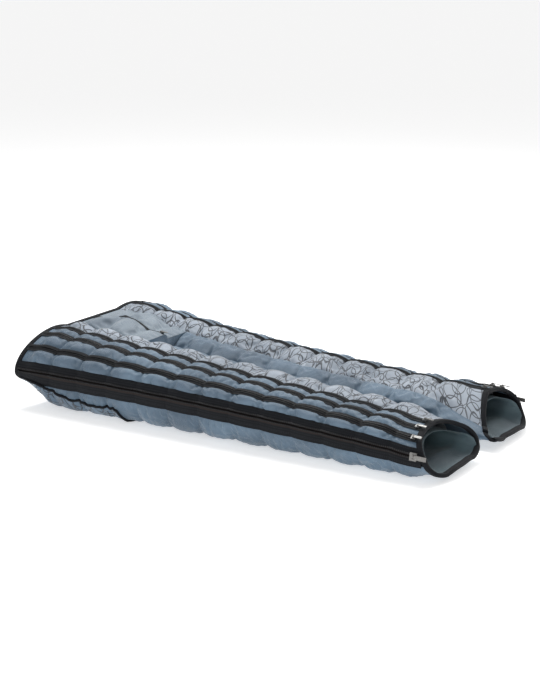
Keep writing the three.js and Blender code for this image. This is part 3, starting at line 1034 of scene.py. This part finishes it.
@dataclass(frozen=True)
class ZipLine:
    """A zip with two tapes and two rows of coil, along one line of the garment."""

    name: str
    size: ZipSize
    clearance: float = 0.0004
    thickness: float = 0.0012
    end: float = 0.004
    tooth: float = 0.0028
    guard: float = 0.0044
    mesh: float = 0.0035

    def build(self, patch: Callable[[float, float], Patch], wardrobe: Wardrobe) -> Piece:
        """Makes the zip.

        Args:
            patch: Gives the patch between two distances from the zip's middle.
            wardrobe: The finishes.

        Returns:
            The zip.
        """
        gauge, half = self.size.gauge, self.size.tape / 2
        slot = 0.0011 * gauge
        solid = Solid()
        for way in (-1, 1):
            tape = patch(*sorted((way * slot, way * half)))
            flat = tape.flat
            flat[..., 1] += way * (slot + half) / 2
            solid.slab(tape.raised(self.clearance), tape.raised(self.clearance + self.thickness), flat)
        guard = patch(-half * 0.9, half * 0.9)
        solid.slab(guard.raised(-self.guard - 0.0006), guard.raised(-self.guard), guard.flat)
        self.teeth(solid, patch(-0.002, 0.002), slot)
        tape = wardrobe.wide_tape if gauge > 1 else wardrobe.tape
        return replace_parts(solid.build(f"{self.name}_chain", Slot.TAPE, tape, wardrobe.coil), self.name)

    def teeth(self, solid: Solid, middle: Patch, slot: float) -> None:
        """Adds the two rows of coil, each turn a small rounded block.

        Args:
            solid: What the turns go into.
            middle: A narrow patch along the zip's middle.
            slot: Half the gap between the rows.
        """
        gauge = self.size.gauge
        line, out = middle.points.mean(1), unit(middle.out.mean(1))
        run = runs(line)
        pitch = self.tooth * gauge
        half = (0.00095 * gauge, 0.00125 * gauge, 0.0009 * gauge)
        order = np.array([[0, 2, 3, 1], [4, 5, 7, 6], [0, 1, 5, 4], [2, 6, 7, 3], [0, 4, 6, 2], [1, 3, 7, 5]])
        for way in (-1, 1):
            at = np.arange(pitch * (1 if way > 0 else 1.5), run[-1] - pitch, pitch)
            up = unit(at_runs(at, run, out))
            along = unit(at_runs(at, run, np.gradient(line, run, axis=0)))
            across = unit(np.cross(up, along)) * way
            high = self.clearance + self.thickness + 0.0008 * gauge
            centre = at_runs(at, run, line) + across * (slot + 0.00125 * gauge) + up * high
            corners = []
            for sx, sy, sz in ((a, b, c) for c in (-1, 1) for b in (-1, 1) for a in (-1, 1)):
                pinch = 1.0 if sz < 0 else 0.62
                aside = along * (sx * half[0] * pinch) + across * (sy * half[1] * pinch)
                corners.append(centre + aside + up * (sz * half[2]))
            faces = (8 * np.arange(len(at))[:, None, None] + order[None]).reshape(-1, 4)
            flat = np.repeat(at[:, None], 8, 1).reshape(-1, 1) * np.array([[1.0, 0.0]])
            solid.add(np.stack(corners, 1), flat, faces, 1, way < 0)


NARROW = ZipSize(0.020, 1.0)
WIDE = ZipSize(0.040, 1.6)


# ---- Legs ---------------------------------------------------------------------------------------


@dataclass(frozen=True)
class EdgeTape:
    """Black tape folded over a raw edge."""

    proud: float = 0.0014
    under: float = 0.0078
    over: float = 0.0085
    beyond: float = 0.0055

    def build(self, node: str, edge: Array, middle: Array, beyond: Array, wardrobe: Wardrobe) -> Piece:
        """Makes the tape.

        Args:
            node: The frame's node that it stands for.
            edge: The closed line of the cloth's edge.
            middle: The middle of the opening, for each point or for all.
            beyond: The way that the cloth would go on at each point.
            wardrobe: The finishes.

        Returns:
            The tape.
        """
        out = unit(np.cross(unit(np.roll(edge, -1, 0) - np.roll(edge, 1, 0)), beyond))
        out *= np.where(np.sum(out * (edge - middle), -1, keepdims=True) < 0, -1.0, 1.0)
        turn = np.linspace(0, 2 * math.pi, 15)[:-1]
        wide = (self.proud + self.under) / 2
        deep = (self.over + self.beyond) / 2
        power = 0.45
        n = wide * np.sign(np.cos(turn)) * np.abs(np.cos(turn)) ** power + (self.proud - self.under) / 2
        d = deep * np.sign(np.sin(turn)) * np.abs(np.sin(turn)) ** power + (self.beyond - self.over) / 2
        ring = edge[None] + n[:, None, None] * out[None] + d[:, None, None] * beyond[None]
        raise_to(ring, 0.0003)
        closed = np.concatenate([ring, ring[:1]])
        across = np.linspace(-0.011, 0.011, len(closed))[:, None]
        solid = Solid()
        solid.grid(closed, np.stack(np.broadcast_arrays(runs(edge)[None, :], across), -1), around=True)
        made = solid.build(f"{node}_tape", Slot.BINDING, wardrobe.binding, bend=1.2)
        made.modifiers.new("weld", "WELD").merge_threshold = 0.00005
        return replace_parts(made, node)


@dataclass(frozen=True)
class Leg:
    """One leg of the garment, from the waist edge to the open foot."""

    side: Side
    cutter: Cutter = Cutter()
    zip_angles: tuple[float, ...] = (86.0, 67.0, 42.0, 5.0)
    zip_names: tuple[str, ...] = ("zip_a", "zip_b", "zip_c", "main_zip")
    overlap: float = 0.0030
    flare: float = 0.045

    def size_of(self, index: int) -> ZipSize:
        """The size of one of the leg's zips."""
        return WIDE if index == 3 else NARROW

    def turn_for(self, distance: float, x: Array, angle: Array) -> Array:
        """The angle that a distance along the surface takes up."""
        degree = SHAPE.skin(self.side, x, angle + 0.5) - SHAPE.skin(self.side, x, angle - 0.5)
        return distance / np.linalg.norm(degree, axis=-1)

    def off(self, angle: float, distance: float) -> Along:
        """The line at a distance along the surface from the line at an angle."""
        return lambda x: angle + self.turn_for(distance, x, np.full_like(x, angle))

    def beside(self, index: int, way: int) -> Along:
        """The line where a panel goes under a zip's tape."""
        return self.off(self.zip_angles[index], way * (self.size_of(index).tape / 2 - self.overlap))

    def panels(self) -> list[Patch]:
        """The leg's panels, before the air goes in."""
        seam, last = SHAPE.front_seam, SHAPE.back_seam
        cuts = {
            "front_panel": (self.beside(0, 1), seam, 0.009),
            "upper_gusset": (self.beside(1, 1), self.beside(0, -1), 0.003),
            "middle_gusset": (self.beside(2, 1), self.beside(1, -1), 0.006),
            "lower_gusset": (self.beside(3, 1), self.beside(2, -1), 0.008),
            "back_panel": (level(last), self.beside(3, -1), 0.006),
            "inner_panel": (seam, level(last + 360), 0.010),
        }
        made = []
        for name, (low, high, bulge) in cuts.items():
            start = SHAPE.crotch + 0.002 if name == "inner_panel" else None
            patch = self.cutter.leg(self.side, low, high, start)
            patch.name, patch.bulge = f"{self.side.label}_{name}", bulge
            patch.gather = 0.0075 if name in ("lower_gusset", "back_panel") else 0.0042
            made.append(self.cutter.settled(patch, SUNK, True))
        return made

    def zips(self, wardrobe: Wardrobe) -> None:
        """Makes the leg's four zips."""
        for index, angle in enumerate(self.zip_angles):
            line = ZipLine(f"{self.side.label}_{self.zip_names[index]}", self.size_of(index))
            begin = float(SHAPE.waist_end(angle)) + line.end
            stop = float(SHAPE.foot_end(angle)) - line.end

            def patch(low: float, high: float) -> Patch:
                """The patch between two distances from the zip's middle."""
                lines = self.off(angle, low), self.off(angle, high)
                return self.cutter.settled(self.cutter.leg(self.side, *lines, begin, stop, mesh=line.mesh))

            line.build(patch, wardrobe)

    def wrinkles(self, patch: Patch) -> Array:
        """Small folds of the lining, as depths."""
        x, turn = patch.points[..., 0], np.radians(patch.angle)
        folds = np.sin(turn * 9 + 3.0 * np.sin(x * 21)) * np.sin(x * 60 + turn * 3)
        return 0.0012 * folds + 0.0016 * np.sin(x * 37 + 2 * np.sin(turn * 2))

    def lining(self, wardrobe: Wardrobe) -> Piece:
        """Makes the leg's lining, a tube that flares to the foot edge."""
        flare_end = 0.5685 - 0.035

        def depth(x: Array) -> Array:
            """How deep the lining lies."""
            return mix(FLARE_DEPTH, LINING_DEPTH, smooth((flare_end - x) / self.flare + 0.35))

        start = SHAPE.crotch + 0.004
        whole = self.cutter.leg(self.side, level(5.0), level(365.0), start, depth=depth, mesh=0.008)
        whole = self.cutter.settled(whole)
        inset = np.minimum(self.wrinkles(whole), 0.0012) * smooth((0.52 - whole.points[..., 0]) / 0.05)
        whole = whole.resettled(whole.raised(inset))
        solid = Solid()
        add_lining(solid, whole)
        name = f"{self.side.label}_leg_lining"
        made = solid.build(f"{name}_cloth", Slot.LINING, wardrobe.lining, bend=3.2)
        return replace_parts(made, name)

    def foot_binding(self, wardrobe: Wardrobe) -> Piece:
        """Makes the tape round the open foot."""
        angle = np.linspace(0, 360, 181)[:-1]
        end = SHAPE.foot_end(angle)
        edge, back = (SHAPE.lie(SHAPE.skin(self.side, end - step, angle), angle) for step in (0.0, 0.004))
        middle = self.cutter.middle(self.side, edge[:, 0])
        return EdgeTape().build(f"{self.side.label}_foot_binding", edge, middle, unit(edge - back), wardrobe)

    def bladders(self, wardrobe: Wardrobe) -> None:
        """Makes the leg's two air bladders, each a row of welded cells."""
        middle = (SHAPE.crotch + SHAPE.waist_x + SHAPE.length - SHAPE.sole_reach / 2) / 2
        spans = {"thigh": (SHAPE.crotch + 0.006, middle - 0.002), "calf": (middle + 0.002, 0.470)}
        depth = level(BLADDER_DEPTH)
        for name, (start, stop) in spans.items():
            core = self.cutter.leg(self.side, level(10.0), level(360.0), start, stop, depth, 0.010)
            pouch(self.cutter.settled(core), f"{self.side.label}_{name}_bladder", wardrobe)

    def hip_patch(self, back: Patch, wardrobe: Wardrobe) -> None:
        """Makes the printed patch low on the outer side of the hip, with its piping.

        Args:
            back: The blown-up back panel that it lies on.
            wardrobe: The finishes.
        """
        rows, columns = back.points.shape[:2]
        first, second = np.interp([-60.0, -12.0], back.angle[rows // 8], np.arange(columns))
        x = back.points[:, columns // 2, 0]
        last = float(np.interp(SHAPE.waist_x + 0.330, x, np.arange(rows)))
        down = np.linspace(1.2, last, 56)
        tapered = mix(second, second - 6.0, smooth((down / last - 0.2) / 0.5))
        grid = first + (tapered[:, None] - first) * np.linspace(0, 1, 22)[None, :]
        points, out, angle = (sample(part, down, grid) for part in (back.points, back.out, back.angle))
        patch = Patch(points, unit(out), angle)
        low, top = patch.raised(0.0004), patch.raised(0.0018)
        raise_to(low, 0.0004)
        raise_to(top, 0.0009)
        solid = Solid()
        solid.slab(low, top, patch.flat)
        name = f"{self.side.label}_hip_patch"
        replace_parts(solid.build(f"{name}_cloth", Slot.PATTERNED, wardrobe.patch), name)
        rim = np.concatenate([top[:, -1], top[-1, ::-1]])
        cord(rim, 0.0034, f"{name}_piping", wardrobe)


def sample(grid: Array, rows: Array, columns: Array) -> Array:
    """A grid's values at places between its rows and columns.

    Args:
        grid: The values.
        rows: A place down the grid for each new row.
        columns: A place across it for each new value.

    Returns:
        The new values.
    """
    r = np.clip(np.broadcast_to(rows[:, None], columns.shape), 0, grid.shape[0] - 1.001)
    c = np.clip(columns, 0, grid.shape[1] - 1.001)
    i, j = r.astype(int), c.astype(int)
    s, t = r - i, c - j
    if grid.ndim == 3:
        s, t = s[..., None], t[..., None]
    return mix(mix(grid[i, j], grid[i, j + 1], t), mix(grid[i + 1, j], grid[i + 1, j + 1], t), s)


def cord(line: Array, radius: float, name: str, wardrobe: Wardrobe) -> Piece:
    """A sewn-in piping along a line, closed at its ends.

    Args:
        line: Points along its middle.
        radius: Its radius.
        name: The piece's name.
        wardrobe: The finishes.

    Returns:
        The piping.
    """
    along = unit(np.gradient(line, axis=0))
    side = unit(np.cross(along, np.array([0.3, 0.2, 1.0])))
    up = np.cross(side, along)
    turn = np.linspace(0, 2 * math.pi, 9)[:-1]
    shrink = np.ones(len(line))
    shrink[[0, -1]] = 0.02
    ring = line[:, None] + radius * shrink[:, None, None] * (
        np.cos(turn)[None, :, None] * side[:, None] + np.sin(turn)[None, :, None] * up[:, None]
    )
    raise_to(ring, 0.0004)
    solid = Solid()
    solid.grid(ring, np.stack(np.broadcast_arrays(runs(line)[:, None], turn[None] * radius), -1), around=True)
    return solid.build(name, Slot.BINDING, wardrobe.binding, bend=1.5)


def add_lining(solid: Solid, tube: Patch) -> None:
    """Adds a tube of lining, whose last column lies on its first."""
    raise_to(tube.points, LINING_FLOOR)
    inner, outer = tube.raised(-LINING_THICK), tube.raised(0.0)
    solid.slab(inner[:, :-1], outer[:, :-1], tube.flat[:, :-1], True)


def pouch(core: Patch, name: str, wardrobe: Wardrobe) -> Piece:
    """A row of welded air cells about a middle surface.

    Args:
        core: The middle surface.
        name: The frame's node that it stands for.
        wardrobe: The finishes.

    Returns:
        The pouch.
    """
    rows, columns = core.points.shape[:2]
    over = np.sin(np.pi * np.linspace(0, 1, columns))[None, :] ** 0.35
    down = np.sin(np.pi * np.linspace(0, 1, rows))[:, None] ** 0.35
    swell = 0.0006 + 0.0055 * over * down * (0.25 + 0.75 * SHAPE.cell(core.points[..., 0], core.angle))
    low, high = core.raised(-swell), core.raised(swell)
    raise_to(low, 0.0025)
    raise_to(high, 0.0020)
    solid = Solid()
    solid.slab(low, high, core.flat)
    made = solid.build(f"{name}_pouch", Slot.FILM, wardrobe.film, bend=1.2)
    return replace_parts(made, name)


# ---- Hip ----------------------------------------------------------------------------------------


def plane(x: Reach, y: Reach, z: Reach, turn: Array, out: Sequence[float]) -> Patch:
    """A patch that faces one way.

    Args:
        x: Its X, for each point or in a shape that spreads to them.
        y: Its Y.
        z: Its Z.
        turn: The angle of each row.
        out: The way that it faces.

    Returns:
        The patch.
    """
    points = np.stack(np.broadcast_arrays(x, y, z), -1)
    angle = np.broadcast_to(turn[:, None], points.shape[:2]).copy()
    return Patch(points, np.broadcast_to(np.array(out, float), points.shape).copy(), angle)


@dataclass(frozen=True)
class Hip:
    """The hip section that joins the two legs."""

    cutter: Cutter = Cutter()
    fly: ZipLine = ZipLine("fly_zip", NARROW)
    gap: float = 0.08

    def between(self, front: bool, edges: tuple[float, float]) -> Patch:
        """A level patch between the legs, at the front or the back.

        Args:
            front: Whether it is at the front.
            edges: Where it starts and ends across, -1 and 1 being the two seams.

        Returns:
            The patch.
        """
        angle = SHAPE.front_seams[0] if front else SHAPE.back_seam
        start, mesh = float(SHAPE.waist_end(angle)), self.cutter.mesh
        x = np.linspace(start, SHAPE.crotch, len(np.arange(start, SHAPE.crotch, mesh)))
        turn = SHAPE.front_seam(x) if front else np.full_like(x, angle)
        seam = SHAPE.skin(Side.FAR, x, turn)
        wide = float(np.abs(seam[:, 1]).mean()) * (edges[1] - edges[0])
        y = seam[:, 1][:, None] * np.linspace(*edges, max(4, int(wide / mesh) + 1))[None, :]
        z, out = (seam[:, 2][:, None], 1.0) if front else (0.0, -1.0)
        return plane(x[:, None], y, z, turn, (0, 0, out))

    def panels(self) -> list[Patch]:
        """The hip's own panels, before the air goes in."""
        made = []
        for name, edges in (("near_centre_panel", (-1.0, -self.gap)), ("far_centre_panel", (self.gap, 1.0))):
            patch = self.between(True, edges)
            patch.name, patch.bulge = name, 0.010
            made.append(self.cutter.settled(patch, SUNK, True))
        back = self.between(False, (-1.0, 1.0))
        back.name = "centre_back_panel"
        return [*made, self.cutter.settled(back)]

    def fly_zip(self, wardrobe: Wardrobe) -> None:
        """Makes the short zip in the middle of the front."""
        begin = float(SHAPE.waist_end(SHAPE.front_seams[0])) + self.fly.end
        stop = SHAPE.crotch - self.fly.end

        def patch(low: float, high: float) -> Patch:
            """The patch between two distances from the zip's middle."""
            x = np.linspace(begin, stop, int((stop - begin) / self.fly.mesh) + 1)
            turn = SHAPE.front_seam(x)
            z = SHAPE.skin(Side.FAR, x, turn)[:, 2]
            cut = plane(x[:, None], np.linspace(low, high, 5)[None, :], z[:, None], turn, (0, 0, 1.0))
            return self.cutter.settled(cut)

        self.fly.build(patch, wardrobe)

    def ring(self, share: float, end: float, count: int, depth: Along = level(0.0)) -> tuple[Array, Array]:
        """One closed turn round the hip.

        Args:
            share: Where it lies, from 0 at the waist edge to 1 at end.
            end: The place along X that it would end at.
            count: How many points are wanted.
            depth: How far under the surface.

        Returns:
            The points and their angles.
        """
        curves, angles = [], []
        for side in (Side.NEAR, Side.FAR):
            x = np.full(DENSE, SHAPE.crotch)
            for _ in range(TRIES):
                angle = mix(SHAPE.back_seam, SHAPE.front_seam(x), np.linspace(0, 1, DENSE))
                x = mix(SHAPE.waist_end(angle), np.full(DENSE, end), share)
            way = 1 if side is Side.NEAR else -1
            curves.append(SHAPE.skin(side, x, angle, depth(x))[::way])
            angles.append(angle[::way])
        curve = np.concatenate([*curves, curves[0][:1]])
        return respaced(curve, np.concatenate([*angles, angles[0][:1]]), count)

    def tube(self, depth: Along, end: float, mesh: float) -> Patch:
        """The whole turn round the hip as a patch.

        Args:
            depth: How far under the surface.
            end: Where it ends along X. It starts at the waist edge.
            mesh: The grid's step along X.

        Returns:
            The patch.
        """
        rows = int((end - SHAPE.waist_x) / mesh)
        made = [self.ring(share, end, 130, depth) for share in np.linspace(0, 1, rows)]
        points, angle = (np.array(part) for part in zip(*made))
        return Patch(points, outward(points, points - points.mean(1, keepdims=True)), angle)

    def lining(self, wardrobe: Wardrobe) -> Piece:
        """Makes the hip's lining, which flares to the waist edge and closes the wall between the legs."""

        def depth(x: Array) -> Array:
            """How deep the lining lies."""
            return mix(FLARE_DEPTH, LINING_DEPTH, smooth((x - SHAPE.waist_x - 0.03) / 0.05))

        solid = Solid()
        add_lining(solid, self.cutter.settled(self.tube(depth, SHAPE.crotch - 0.002, 0.009)))
        wall = self.wall(0.0262, 0.0225, SHAPE.crotch)
        wall.points[..., 0] -= 0.0014
        wall = wall.resettled(SHAPE.lie(wall.points, wall.angle))
        solid.slab(wall.raised(-LINING_THICK), wall.points, wall.flat)
        made = solid.build("hip_lining_cloth", Slot.LINING, wardrobe.lining, bend=3.2)
        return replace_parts(made, "hip_lining")

    def waist_binding(self, wardrobe: Wardrobe) -> Piece:
        """Makes the tape round the waist edge."""
        edge, angle = self.ring(0.0, SHAPE.crotch, 301)
        edge = SHAPE.lie(edge, angle)[:-1]
        beyond = np.broadcast_to((-1.0, 0.0, 0.0), edge.shape)
        return EdgeTape().build("waist_binding", edge, edge.mean(0), beyond, wardrobe)

    def bladders(self, wardrobe: Wardrobe) -> None:
        """Makes the belly bladders and the seat bladder."""
        start, stop, depth = SHAPE.waist_x + 0.075, SHAPE.crotch - 0.003, level(BLADDER_DEPTH)
        for side in (Side.NEAR, Side.FAR):
            core = self.cutter.leg(side, level(10.0), SHAPE.front_seam, start, stop, depth, 0.010)
            pouch(self.cutter.settled(core), f"{side.label}_abdomen_bladder", wardrobe)
        whole = self.tube(depth, stop, 0.010)
        near = np.linspace(0, 1, whole.points.shape[1]) < 0.5
        low = whole.angle[len(whole.angle) // 2] < 0
        order = np.concatenate([np.flatnonzero(low & ~near), np.flatnonzero(low & near)])
        seat = Patch(whole.points[6:, order], whole.out[6:, order], whole.angle[6:, order])
        pouch(self.cutter.settled(seat), "seat_bladder", wardrobe)

    def wall(self, aside: float, deep: float, x: float) -> Patch:
        """An upright wall across the gap between the legs.

        Args:
            aside: How far into each leg it reaches.
            deep: How far it stays under the front and the back.
            x: Where it stands along the garment.

        Returns:
            The wall, facing the feet.
        """
        angle = mix(float(SHAPE.front_seam(SHAPE.crotch)), SHAPE.back_seam + 360, np.linspace(0, 1, 26))
        place = np.full_like(angle, x)
        wide, high = (SHAPE.skin(Side.FAR, place, angle, depth) for depth in (aside, deep))
        y = wide[:, 1][:, None] * np.linspace(-1, 1, 21)[None, :]
        return plane(x, y, high[:, 2][:, None], angle, (1.0, 0, 0))

    def crotch_gusset(self, wardrobe: Wardrobe) -> Piece:
        """Makes the saddle of cloth that closes the gap between the legs."""
        patch = self.wall(-0.0030, -0.0030, SHAPE.crotch + 0.002)
        up, over = np.linspace(0, 1, 26)[:, None], np.linspace(-1, 1, 21)[None, :]
        bow = 0.010 * np.cos(over * math.pi / 2) * np.sin(np.pi * up)
        patch.points[..., 0] = SHAPE.crotch + 0.001 + bow + 0.0015 * np.sin(over * 9) * np.sin(np.pi * up)
        patch = patch.resettled(SHAPE.lie(patch.points, patch.angle))
        solid = Solid()
        solid.slab(patch.raised(-0.0012), patch.points, patch.flat)
        made = solid.build("crotch_gusset_cloth", Slot.PLAIN, wardrobe.plain, bend=1.2)
        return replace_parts(made, "crotch_gusset")


# ---- Hard parts ---------------------------------------------------------------------------------


@dataclass(frozen=True)
class Hardware:
    """The sliders, the pulls and the air inlets, which keep the frame's shapes."""

    round_metal: float = 0.00035
    round_plastic: float = 0.0008

    def dress(self, wardrobe: Wardrobe) -> None:
        """Rounds the edges and gives each part its finish."""
        for name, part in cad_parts.items():
            if name.endswith(("_slider", "_pull")):
                self.finish(part, wardrobe.metal, self.round_metal, Slot.METAL)
            elif name.endswith("_air_inlet"):
                self.finish(part, wardrobe.plastic, self.round_plastic, Slot.PLASTIC)

    def finish(self, part: Piece, material: Material, radius: float, slot: Slot) -> None:
        """Rounds and dresses one part.

        Args:
            part: The frame's part.
            material: Its material.
            radius: How round its edges become.
            slot: The record's slot; not used.
        """
        part.data.materials.clear()
        part.data.materials.append(material)
        edges = part.modifiers.new("edges", "BEVEL")
        edges.width, edges.segments, edges.limit_method = radius, 2, "ANGLE"
        edges.angle_limit = 0.5
        LOG.info("%s: kept", part.name)


# ---- Studio -------------------------------------------------------------------------------------


@dataclass(frozen=True)
class Studio:
    """A pale floor, soft lights and the camera."""

    target: tuple[float, float, float] = (0.0, -0.02, 0.165)
    azimuth: float = 33.0
    elevation: float = 15.5
    distance: float = 3.8
    lens: float = 81.8
    floor_half: float = 30.0
    glow: float = 0.48

    def floor(self) -> None:
        """Lays the floor."""
        mesh = bpy.data.meshes.new("floor")
        half = self.floor_half
        corners = [(-half, -half, 0), (half, -half, 0), (half, half, 0), (-half, half, 0)]
        mesh.from_pydata(corners, [], [(0, 1, 2, 3)])
        floor = bpy.data.objects.new("floor", mesh)
        bpy.context.scene.collection.objects.link(floor)
        glow = {"Emission_Color": (1, 1, 1, 1), "Emission_Strength": self.glow}
        paint = {"Base_Color": (0.9, 0.9, 0.9, 1.0), "Roughness": 0.9}
        mesh.materials.append(Bench("pale_floor").finish(**paint, **glow))

    def lights(self) -> None:
        """Hangs the lights."""
        world = bpy.data.worlds.new("studio")
        bpy.context.scene.world = world
        world.use_nodes = True
        back = world.node_tree.nodes["Background"]
        back.inputs["Color"].default_value = (1.0, 1.0, 1.0, 1.0)
        back.inputs["Strength"].default_value = self.glow
        for name, place, size, power in (
            ("key", (-0.9, 0.9, 2.7), 1.5, 78.0),
            ("fill", (1.2, -3.0, 0.9), 1.6, 19.0),
            ("rim", (0.9, 2.8, 1.8), 1.8, 30.0),
        ):
            lamp = bpy.data.lights.new(name, "AREA")
            lamp.size, lamp.energy = size, power
            made = bpy.data.objects.new(name, lamp)
            made.location = place
            aim = Vector((0.0, 0.0, 0.05)) - Vector(place)
            made.rotation_euler = aim.to_track_quat("-Z", "Y").to_euler()
            bpy.context.scene.collection.objects.link(made)

    def camera(self) -> None:
        """Sets the camera up."""
        turn, rise = math.radians(self.azimuth), math.radians(self.elevation)
        back = Vector((math.sin(turn) * math.cos(rise), -math.cos(turn) * math.cos(rise), math.sin(rise)))
        lens = bpy.data.cameras.new("camera")
        lens.sensor_width, lens.lens = 36.0, self.lens
        made = bpy.data.objects.new("camera", lens)
        made.location = Vector(self.target) + back * self.distance
        made.rotation_euler = back.to_track_quat("Z", "Y").to_euler()
        bpy.context.scene.collection.objects.link(made)
        bpy.context.scene.camera = made
        bpy.context.scene.view_settings.view_transform = "Standard"


# ---- Assembly -----------------------------------------------------------------------------------


def dress_panels(patches: Sequence[Patch], wardrobe: Wardrobe, thick: float = 0.0014) -> None:
    """Makes every panel's cloth.

    Args:
        patches: The blown-up panels.
        wardrobe: The finishes.
        thick: The cloth's thickness.
    """
    for patch in patches:
        slot, material = Slot.PLAIN, wardrobe.centre if "centre" in patch.name else wardrobe.plain
        if patch.name.endswith("front_panel"):
            slot, material = Slot.PATTERNED, wardrobe.print
        solid = Solid()
        solid.slab(patch.raised(-thick), patch.points, patch.flat)
        made = solid.build(f"{patch.name}_cloth", slot, material, bend=1.4)
        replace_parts(made, patch.name)


def main() -> None:
    """Builds the garment's pieces in order."""
    logging.basicConfig(level=logging.INFO, format="%(name)s %(message)s")
    studio = Studio()
    studio.camera()
    studio.floor()
    studio.lights()
    wardrobe = Wardrobe()
    legs = [Leg(side) for side in Side]
    hip = Hip()
    patches = [patch for leg in legs for patch in leg.panels()] + hip.panels()
    patches = AirPump().blow(patches)
    patches = [InletSeat().press(Cutter().gathered(patch)) for patch in patches]
    dress_panels(patches, wardrobe)
    panels = {patch.name: patch for patch in patches}
    for leg in legs:
        leg.zips(wardrobe)
        leg.lining(wardrobe)
        leg.foot_binding(wardrobe)
        leg.bladders(wardrobe)
        leg.hip_patch(panels[f"{leg.side.label}_back_panel"], wardrobe)
    hip.fly_zip(wardrobe)
    hip.lining(wardrobe)
    hip.waist_binding(wardrobe)
    hip.bladders(wardrobe)
    hip.crotch_gusset(wardrobe)
    Hardware().dress(wardrobe)


if __name__ == "__main__":
    main()
